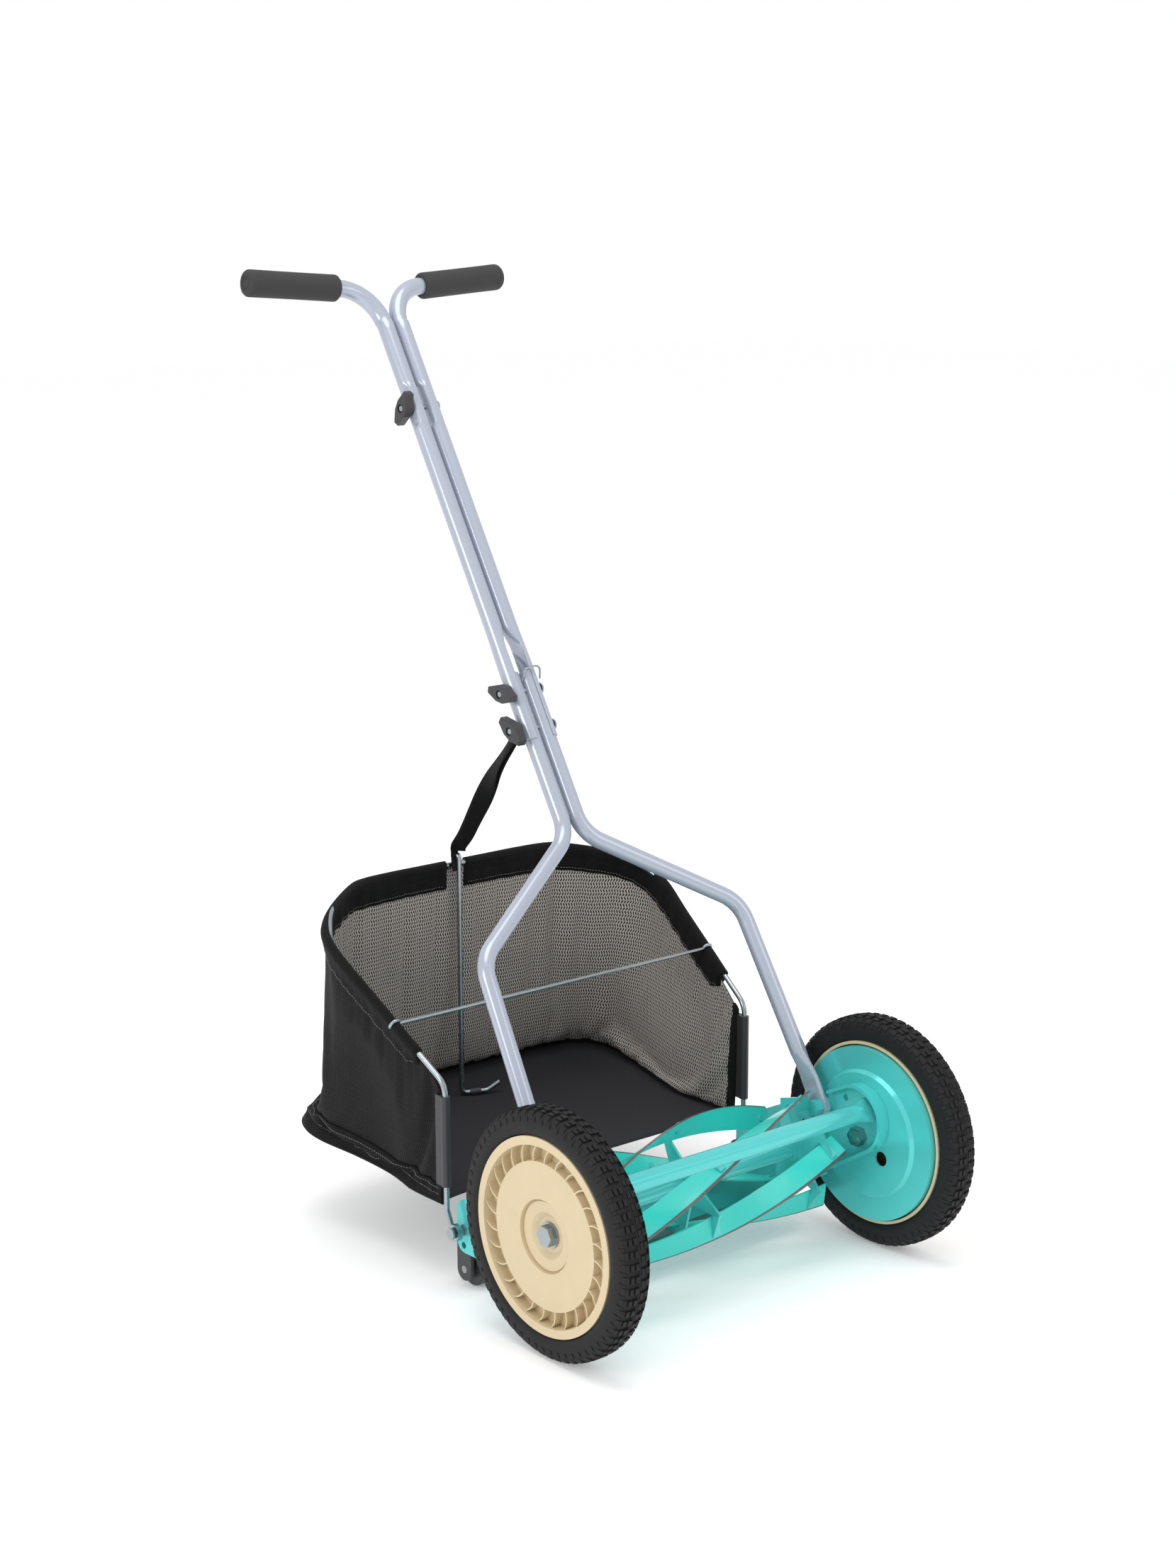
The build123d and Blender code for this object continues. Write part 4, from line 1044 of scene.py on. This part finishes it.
    def skin(self, name: str, grid: Sequence[Sequence[Vector]]) -> Piece:
        """Make one open skin from columns of points, with its cloth coordinates.

        Args:
            name: the piece's name.
            grid: its columns of points.

        Returns:
            The skin.
        """
        rows = len(grid[0])
        verts = [p for column in grid for p in column]
        corners = [c * rows + r for c in range(len(grid) - 1) for r in range(rows - 1)]
        faces = [[k, k + rows, k + rows + 1, k + 1] for k in corners]
        obj = piece(name, verts, faces)
        across, up, run = [], [], 0.0
        for c, column in enumerate(grid):
            run += (column[rows // 2] - grid[c - 1][rows // 2]).length if c else 0.0
            climb = 0.0
            for r, point in enumerate(column):
                climb += (point - column[r - 1]).length if r else 0.0
                across.append(run)
                up.append(climb)
        self.add_cloth_map(obj, across, up)
        return obj

    def thicken(self, obj: Piece, thickness: float, offset: float, inside: Finish | None = None) -> None:
        """Give a skin its thickness, with another finish on its inner face if asked.

        Args:
            obj: the skin.
            thickness: its thickness in millimetres.
            offset: -1 to grow inwards, 0 to grow both ways.
            inside: the inner face's finish.
        """
        solid = obj.modifiers.new("thickness", "SOLIDIFY")
        solid.thickness = thickness * MM
        solid.offset = offset
        solid.use_even_offset = False
        if inside:
            obj.data.materials.append(inside.material())
            solid.material_offset = 1
        apply_modifiers(obj)

    def walls(self) -> tuple[Piece, list[list[Vector]]]:
        """Make the mesh walls, and give them with their settled points.

        Returns:
            The walls and their settled columns of points.
        """
        grid = self.wall_grid()
        rows = len(self.levels)
        wall = self.skin("bag_walls", grid)
        self.face_outwards(wall)
        edge_rows, edge_columns = (0, 1, rows - 1), (0, 1, self.columns - 2, self.columns - 1)
        spots = [(c, r) for c in range(self.columns) for r in range(rows)]
        held = [c * rows + r for c, r in spots if r in edge_rows or c in edge_columns]
        self.hang(wall, held)
        points = [vertex.co.copy() for vertex in wall.data.vertices]
        settled = [points[c * rows : (c + 1) * rows] for c in range(self.columns)]
        wall.data.materials.append(MESH_OUT.material())
        self.thicken(wall, 1.1, -1.0, MESH_IN)
        MESH_OUT.finish_piece(wall, "catcher", "bag_body")
        return wall, settled

    def face_outwards(self, obj: Piece) -> None:
        """Turn a skin's faces so that they look away from the bag's middle.

        Args:
            obj: the skin.
        """
        middle = place(*self.middle)
        votes = sum(1 if p.normal.dot(p.center - middle) > 0 else -1 for p in obj.data.polygons)
        if votes < 0:
            obj.data.flip_normals()

    def foot_hem(self, settled: Sequence[Sequence[Vector]]) -> Piece:
        """Make the folded band round the walls' foot, with a rolled lower edge.

        Args:
            settled: the walls' columns of points.

        Returns:
            The band.
        """
        sections, run, across, up = [], 0.0, [], []
        for c, column in enumerate(settled):
            low = column[: self.hem_rows + 1]
            before, after = settled[max(c - 1, 0)][0], settled[min(c + 1, len(settled) - 1)][0]
            along = (after - before).normalized()
            run += (column[0] - settled[c - 1][0]).length if c else 0.0
            out = self.outward(along, column[0])
            drop = Vector((0, 0, -1))
            outer = [p + out * (2.0 if 0 < i < self.hem_rows else 1.5) * MM for i, p in enumerate(low)]
            inner = [p - out * (1.7 if i < 2 else 0.3) * MM for i, p in enumerate(low)]
            turns = ((2.6, 1.6), (1.2, 3.8), (-1.0, 3.9), (-2.2, 1.6))
            roll = [low[0] + out * a * MM + drop * b * MM for a, b in turns]
            section = outer[::-1] + roll + inner
            sections.append(section)
            across += [run] * len(section)
            up += [0.0024 * i for i in range(len(section))]
        verts, faces = loft(sections)
        hem = piece("foot_hem", verts, faces)
        self.add_cloth_map(hem, across, up)
        return BINDING.finish_piece(hem, "catcher")

    def down_column(self, column: Sequence[Vector], depth: float) -> Vector:
        """The point on a wall's column at a depth in millimetres below its head.

        Args:
            column: one of the walls' columns of points.
            depth: the depth.

        Returns:
            The point, or the foot if the column is shorter than that.
        """
        left = depth * MM
        for upper, lower in zip(column[::-1], column[-2::-1]):
            step = (upper - lower).length
            if left <= step:
                return upper.lerp(lower, left / step)
            left -= step
        return column[0]

    def rim_hem(self, name: str, side: int, settled: Sequence[Sequence[Vector]]) -> Piece:
        """Make one half of the binding that folds over the frame's wire, with its stitches.

        Args:
            name: the half's name.
            side: 1 for the left, -1 for the right.
            settled: the walls' columns of points.

        Returns:
            The binding.
        """
        path = evenly([place(side * x, y, z) for x, y, z in self.wire], 260)
        front_y = place(0.0, self.wire[0][1], 0.0).y
        chosen = [c for c in settled if c[-1].y > front_y and side * c[-1].x > 11.0 * MM]
        sections, across, up, run = [], [], [], 0.0
        outer_line, inner_line = [], []
        for k, column in enumerate(chosen):
            wire = min(path, key=lambda p: (p - column[-1]).length)
            along = (chosen[min(k + 1, len(chosen) - 1)][-1] - chosen[max(k - 1, 0)][-1]).normalized()
            out = self.outward(along, column[-1])
            rise = out.cross(along).normalized()
            rise = rise if rise.z > 0 else -rise
            run += (column[-1] - chosen[k - 1][-1]).length if k else 0.0
            puff = 0.9 * noise.noise(wire * 26.0)
            taper = min(1.0, 0.28 + (column[-1].y - front_y) / (26.0 * MM))
            waver = 1.5 * noise.noise(wire * 12.0)
            drops = [self.down_column(column, (depth + waver) * taper) for depth in (25.0, 18.5, 12.0, 6.0)]
            inner = [p - out * t * MM for p, t in zip(drops, (1.9, 2.7 + puff, 3.0 + puff, 3.2))]
            outer = [p + out * t * MM for p, t in zip(drops, (1.2, 2.4 + puff, 3.8 + puff, 5.6))]
            over = ((-4.7, 0.2), (-3.7, 3.3), (-1.6, 5.0), (0.7, 5.5), (3.0, 4.8), (4.9, 2.4), (5.7, -1.2))
            section = inner + [wire + (out * a + rise * b) * MM for a, b in over] + outer[::-1]
            sections.append(section)
            middle = self.down_column(column, 21.0 * taper)
            outer_line.append((middle + out * 1.9 * MM, out))
            inner_line.append((middle - out * 2.2 * MM, -out))
            across += [run] * len(section)
            up += [0.005 * i for i in range(len(section))]
        verts, faces = loft(sections)
        hem = piece(f"rim_hem_{name}", verts, faces)
        self.add_cloth_map(hem, across, up)
        BINDING.finish_piece(hem, "catcher")
        self.stitches(f"rim_stitches_outer_{name}", outer_line[1:-1], 0.2, 3.6)
        self.stitches(f"rim_stitches_inner_{name}", inner_line[1:-1], 0.3, 3.6)
        return hem

    def edge_binding(self, name: str, edge: Sequence[Vector], beside: Sequence[Vector]) -> None:
        """Make the tape that closes one front edge of the walls.

        Args:
            name: the tape's name.
            edge: the wall's first column of points.
            beside: a column a little way into the wall.
        """
        sections, across, up = [], [], []
        for at, inner in zip(edge, beside):
            inwards = (inner - at).normalized()
            out = self.outward(inwards, at)
            round_edge = (
                (9.5, 1.3), (5.0, 1.9), (1.0, 1.7), (-1.2, 0.9), (-1.6, -0.7),
                (-1.2, -2.0), (1.0, -2.8), (5.0, -3.0), (9.5, -2.3),
            )
            sections.append([at + (inwards * a + out * b) * MM for a, b in round_edge])
            across += [0.003 * i for i in range(len(round_edge))]
            up += [(at - edge[0]).length] * len(round_edge)
        verts, faces = loft(sections)
        tape = piece(name, verts, faces)
        self.add_cloth_map(tape, across, up)
        BINDING.finish_piece(tape, "catcher")

    def stitches(self, name: str, line: Sequence[tuple[Vector, Vector]], lift: float, pitch: float) -> None:
        """Make a row of small stitches along a line.

        Args:
            name: the row's name.
            line: (point, outward way) pairs, close together.
            lift: how far the stitches stand off the line, in millimetres.
            pitch: the distance from stitch to stitch, in millimetres.
        """
        verts: list[Vector] = []
        faces: list[list[int]] = []
        travelled, due = 0.0, 0.0
        for (a, out), (b, _) in zip(line, line[1:]):
            step = (b - a).length / MM
            along = (b - a).normalized()
            while due < travelled + step:
                at = a.lerp(b, (due - travelled) / step) + out * lift * MM
                tall = out.cross(along).normalized() * 0.35 * MM
                half, rise = along * 1.15 * MM, out * 0.45 * MM
                low = [at - half - tall, at + half - tall, at + half + tall, at - half + tall]
                ways = ((-1, -1), (1, -1), (1, 1), (-1, 1))
                top = [at + half * 0.7 * i + tall * 0.6 * j + rise for i, j in ways]
                add_block(verts, faces, low + top)
                due += pitch
            travelled += step
        THREAD.finish_piece(piece(name, verts, faces, smooth=False), "catcher")

    def floor_sheet(self, settled: Sequence[Sequence[Vector]]) -> Piece:
        """Make the floor, flat in the middle and turned up to the walls' foot.

        Args:
            settled: the walls' columns of points.

        Returns:
            The floor.
        """
        rim = [column[0].copy() for column in settled]
        middle = place(0.0, 330.0, 100.0)
        rim = [p + (middle - p).normalized() * 3.2 * MM for p in rim]
        front_left, front_right = rim[0], rim[-1]
        front = [front_right.lerp(front_left, k / 40) for k in range(1, 40)]
        outline = [p.to_2d() for p in rim + front]
        count = len(outline)
        inner = []
        for i in range(-20, 21):
            for j in range(0, 29):
                spot = place(i * 10.0, 214.0 + j * 10.0, 0.0).to_2d()
                if min((spot - q).length for q in outline) > 6.5 * MM and self.inside(spot, outline):
                    inner.append(spot)
        verts2, _, faces, *_ = delaunay_2d_cdt(outline + inner, [], [list(range(count))], 1, 1e-6)
        verts = []
        flat = place(0, 0, 95.4).z
        for spot in verts2:
            near = min(rim, key=lambda p: (p.to_2d() - spot).length)
            gap = (near.to_2d() - spot).length
            lift = math.exp(-gap / (17.0 * MM))
            ripple = noise.noise(Vector((spot.x * 11, spot.y * 11, 0.4))) * 0.6 * MM
            verts.append(Vector((spot.x, spot.y, flat + (near.z - flat) * lift + ripple * (1 - lift))))
        floor = piece("bag_floor_sheet", verts, faces)
        for polygon in floor.data.polygons:
            if polygon.normal.z < 0:
                polygon.flip()
        across = [v.co.x for v in floor.data.vertices]
        up = [v.co.y for v in floor.data.vertices]
        self.add_cloth_map(floor, across, up)
        floor.data.materials.append(FLOOR_SHEET.material())
        self.thicken(floor, 1.4, -1.0)
        return FLOOR_SHEET.finish_piece(floor, "catcher", "bag_floor")

    def inside(self, spot: Vector, outline: Sequence[Vector]) -> bool:
        """Whether a flat point is inside a closed outline.

        Args:
            spot: the point.
            outline: the outline.

        Returns:
            Whether it is inside.
        """
        crossings = False
        for a, b in zip(outline, list(outline[1:]) + [outline[0]]):
            if (a.y > spot.y) != (b.y > spot.y) and spot.x < (b.x - a.x) * (spot.y - a.y) / (b.y - a.y) + a.x:
                crossings = not crossings
        return crossings

    def strap(self) -> None:
        """Make the twisted, doubled webbing from the low bolt to the rod's loop."""
        knob_y = handle_y(553.0)
        route = (
            (-23.4, knob_y + 1.0, 552.0), (-23.0, knob_y + 15.0, 534.0), (-20.0, knob_y + 48.0, 497.0),
            (-14.0, knob_y + 86.0, 451.0), (-7.5, knob_y + 117.0, 416.0), (-3.4, 442.5, 397.5),
            (-2.0, 446.0, 390.0),
        )
        points = [place(*spot) for spot in route]
        path = evenly(points, 70)
        for layer, (shift, lag) in enumerate(((0.0, 0.0), (1.7, 0.5))):
            grid = []
            for k, at in enumerate(path):
                t = k / 69
                along = (path[min(k + 1, 69)] - path[max(k - 1, 0)]).normalized()
                side = Vector((1, 0, 0))
                side = (side - along * side.dot(along)).normalized()
                sway = 34 * math.sin(math.tau * t * 1.15) * (0.6 + lag)
                turn = math.radians(88 - 88 * t * t * (1 - 0.25 * lag) + sway)
                wide = side * math.cos(turn) + along.cross(side) * math.sin(turn)
                face = along.cross(wide)
                half = (6.0 + 4.6 * min(1.0, 2.6 * t) * (1.0 - 0.35 * t**5)) * MM * (1.0 - 0.12 * lag)
                bow = 1.3 * math.sin(math.pi * t + lag) * MM
                rank = [k / 4 for k in range(-4, 5)]
                grid.append([at + face * (shift * MM + bow * (1 - s * s)) + wide * half * s for s in rank])
            lengths = sum((b[4] - a[4]).length for a, b in zip(grid, grid[1:]))
            web = self.skin(f"strap_layer_{layer + 1}", grid)
            web.data.materials.append(WEBBING.material())
            self.thicken(web, 1.1, 0.0)
            if layer:
                WEBBING.finish_piece(web, "strap_body")
            else:
                WEBBING.finish_piece(web, "strap_body", "strap")
            log.info("strap layer %d is %.0f mm long", layer + 1, lengths / MM)
        hanging = ((-2.6, 443.5, 393.0), (-3.2, 450.0, 388.0), (-4.2, 449.5, 378.0), (-5.4, 447.5, 366.0))
        tail = evenly([place(*spot) for spot in hanging], 22)
        halves = [(5.6 - 2.6 * k / 21) * MM for k in range(22)]
        folded = []
        for at, half in zip(tail, halves):
            folded.append([at + Vector((s * half, abs(s) * 1.4 * MM, 0)) for s in (-1, -0.5, 0, 0.5, 1)])
        web = self.skin("strap_tail", folded)
        web.data.materials.append(WEBBING.material())
        self.thicken(web, 1.1, 0.0)
        WEBBING.finish_piece(web, "catcher")

    def build(self) -> None:
        """Make the bag and its strap, and dress the wire frame."""
        ZINC.dress("catcher_frame", "cross_wire", "support_rod")
        BLACK.dress("edge_sleeves", "rod_sleeve")
        wall, settled = self.walls()
        floor = self.floor_sheet(settled)
        hem = self.foot_hem(settled)
        for number, row in enumerate((2, 4)):
            line = []
            for c in range(1, self.columns - 1):
                along = (settled[c + 1][row] - settled[c - 1][row]).normalized()
                line.append((settled[c][row], self.outward(along, settled[c][row])))
            self.stitches(f"foot_stitches_{number + 1}", line, 2.0, 3.6)
        for side in Side:
            self.rim_hem(side.label, side.value, settled)
            first = settled[0][0].x * side.value > 0
            ends = (settled[0], settled[3]) if first else (settled[-1], settled[-4])
            self.edge_binding(f"edge_binding_{side.label}", *ends)
        self.strap()
        feet, heads = (self.round_bag(half, self.columns) for half in (self.foot, self.head))


# ---- studio --------------------------------------------------------------------------
@dataclass
class Studio:
    """The pale floor, the soft lights and the camera."""

    eye: Point = (-1731.2, -1849.4, 1103.3)
    aim: Point = (408.8, 707.7, 363.4)
    lens: float = 59.96
    roll: float = -0.146

    def floor(self) -> None:
        """Lay the pale floor."""
        base = bpy.data.materials.new("studio_floor")
        base.use_nodes = True
        shader = base.node_tree.nodes["Principled BSDF"]
        shader.inputs["Base Color"].default_value = (0.93, 0.93, 0.93, 1.0)
        shader.inputs["Roughness"].default_value = 0.75
        shader.inputs["Emission Color"].default_value = (1.0, 1.0, 1.0, 1.0)
        shader.inputs["Emission Strength"].default_value = 0.21
        corners = [Vector((x, y, 0.0)) for x, y in ((-14, -14), (14, -14), (14, 14), (-14, 14))]
        ground = piece("studio_floor", corners, [[0, 1, 2, 3]], smooth=False)
        ground.data.materials.append(base)

    def light(self, name: str, at: Point, aim: Point, size: float, power: float) -> None:
        """Hang one large soft light.

        Args:
            name: the light's name.
            at: where it hangs, in metres.
            aim: what it points at, in metres.
            size: its width in metres.
            power: its strength in watts.
        """
        lamp = bpy.data.lights.new(name, "AREA")
        lamp.shape = "DISK"
        lamp.size = size
        lamp.energy = power
        holder = bpy.data.objects.new(name, lamp)
        holder.location = at
        holder.rotation_euler = (Vector(aim) - Vector(at)).to_track_quat("-Z", "Y").to_euler()
        bpy.context.scene.collection.objects.link(holder)

    def camera(self) -> None:
        """Set up the camera."""
        data = bpy.data.cameras.new("camera")
        data.lens = self.lens
        data.sensor_width = 36.0
        data.clip_end = 60.0
        data.dof.use_dof = False
        camera = bpy.data.objects.new("camera", data)
        camera.location = place(*self.eye)
        look = (place(*self.aim) - place(*self.eye)).to_track_quat("-Z", "Y").to_matrix()
        camera.rotation_euler = (look @ Matrix.Rotation(math.radians(self.roll), 3, "Z")).to_euler()
        bpy.context.scene.collection.objects.link(camera)
        bpy.context.scene.camera = camera

    def build(self) -> None:
        """Build the studio."""
        self.floor()
        self.camera()
        self.light("overhead", (-0.4, -0.2, 3.2), (0.0, 0.0, 0.3), 2.2, 30.0)
        self.light("side_soft", (-2.9, -0.4, 1.7), (0.0, 0.0, 0.45), 1.3, 20.0)
        self.light("front_soft", (1.3, -2.8, 1.9), (0.0, 0.0, 0.4), 1.6, 8.0)
        world = bpy.data.worlds.new("studio_world")
        world.use_nodes = True
        tree = world.node_tree
        glow = tree.nodes["Background"]
        glow.inputs["Color"].default_value = (1.0, 1.0, 1.0, 1.0)
        glow.inputs["Strength"].default_value = 0.84
        seen = tree.nodes.new("ShaderNodeBackground")
        seen.inputs["Strength"].default_value = 1.0
        seen.inputs["Color"].default_value = (1.0, 1.0, 1.0, 1.0)
        path = tree.nodes.new("ShaderNodeLightPath")
        blend = tree.nodes.new("ShaderNodeMixShader")
        tree.links.new(path.outputs["Is Camera Ray"], blend.inputs["Fac"])
        tree.links.new(glow.outputs["Background"], blend.inputs[1])
        tree.links.new(seen.outputs["Background"], blend.inputs[2])
        tree.links.new(blend.outputs["Shader"], tree.nodes["World Output"].inputs["Surface"])
        bpy.context.scene.world = world
        bpy.context.scene.view_settings.view_transform = "Standard"


def main() -> None:
    """Build the mower's sub-assemblies and its studio."""
    logging.basicConfig(level=logging.INFO, format="%(message)s")
    for part in (Studio(), GroundDrive(), CuttingReel(), Chassis(), Handle(), GrassCatcher()):
        part.build()
        log.info("finished %s", type(part).__name__)


if __name__ == "__main__":
    main()
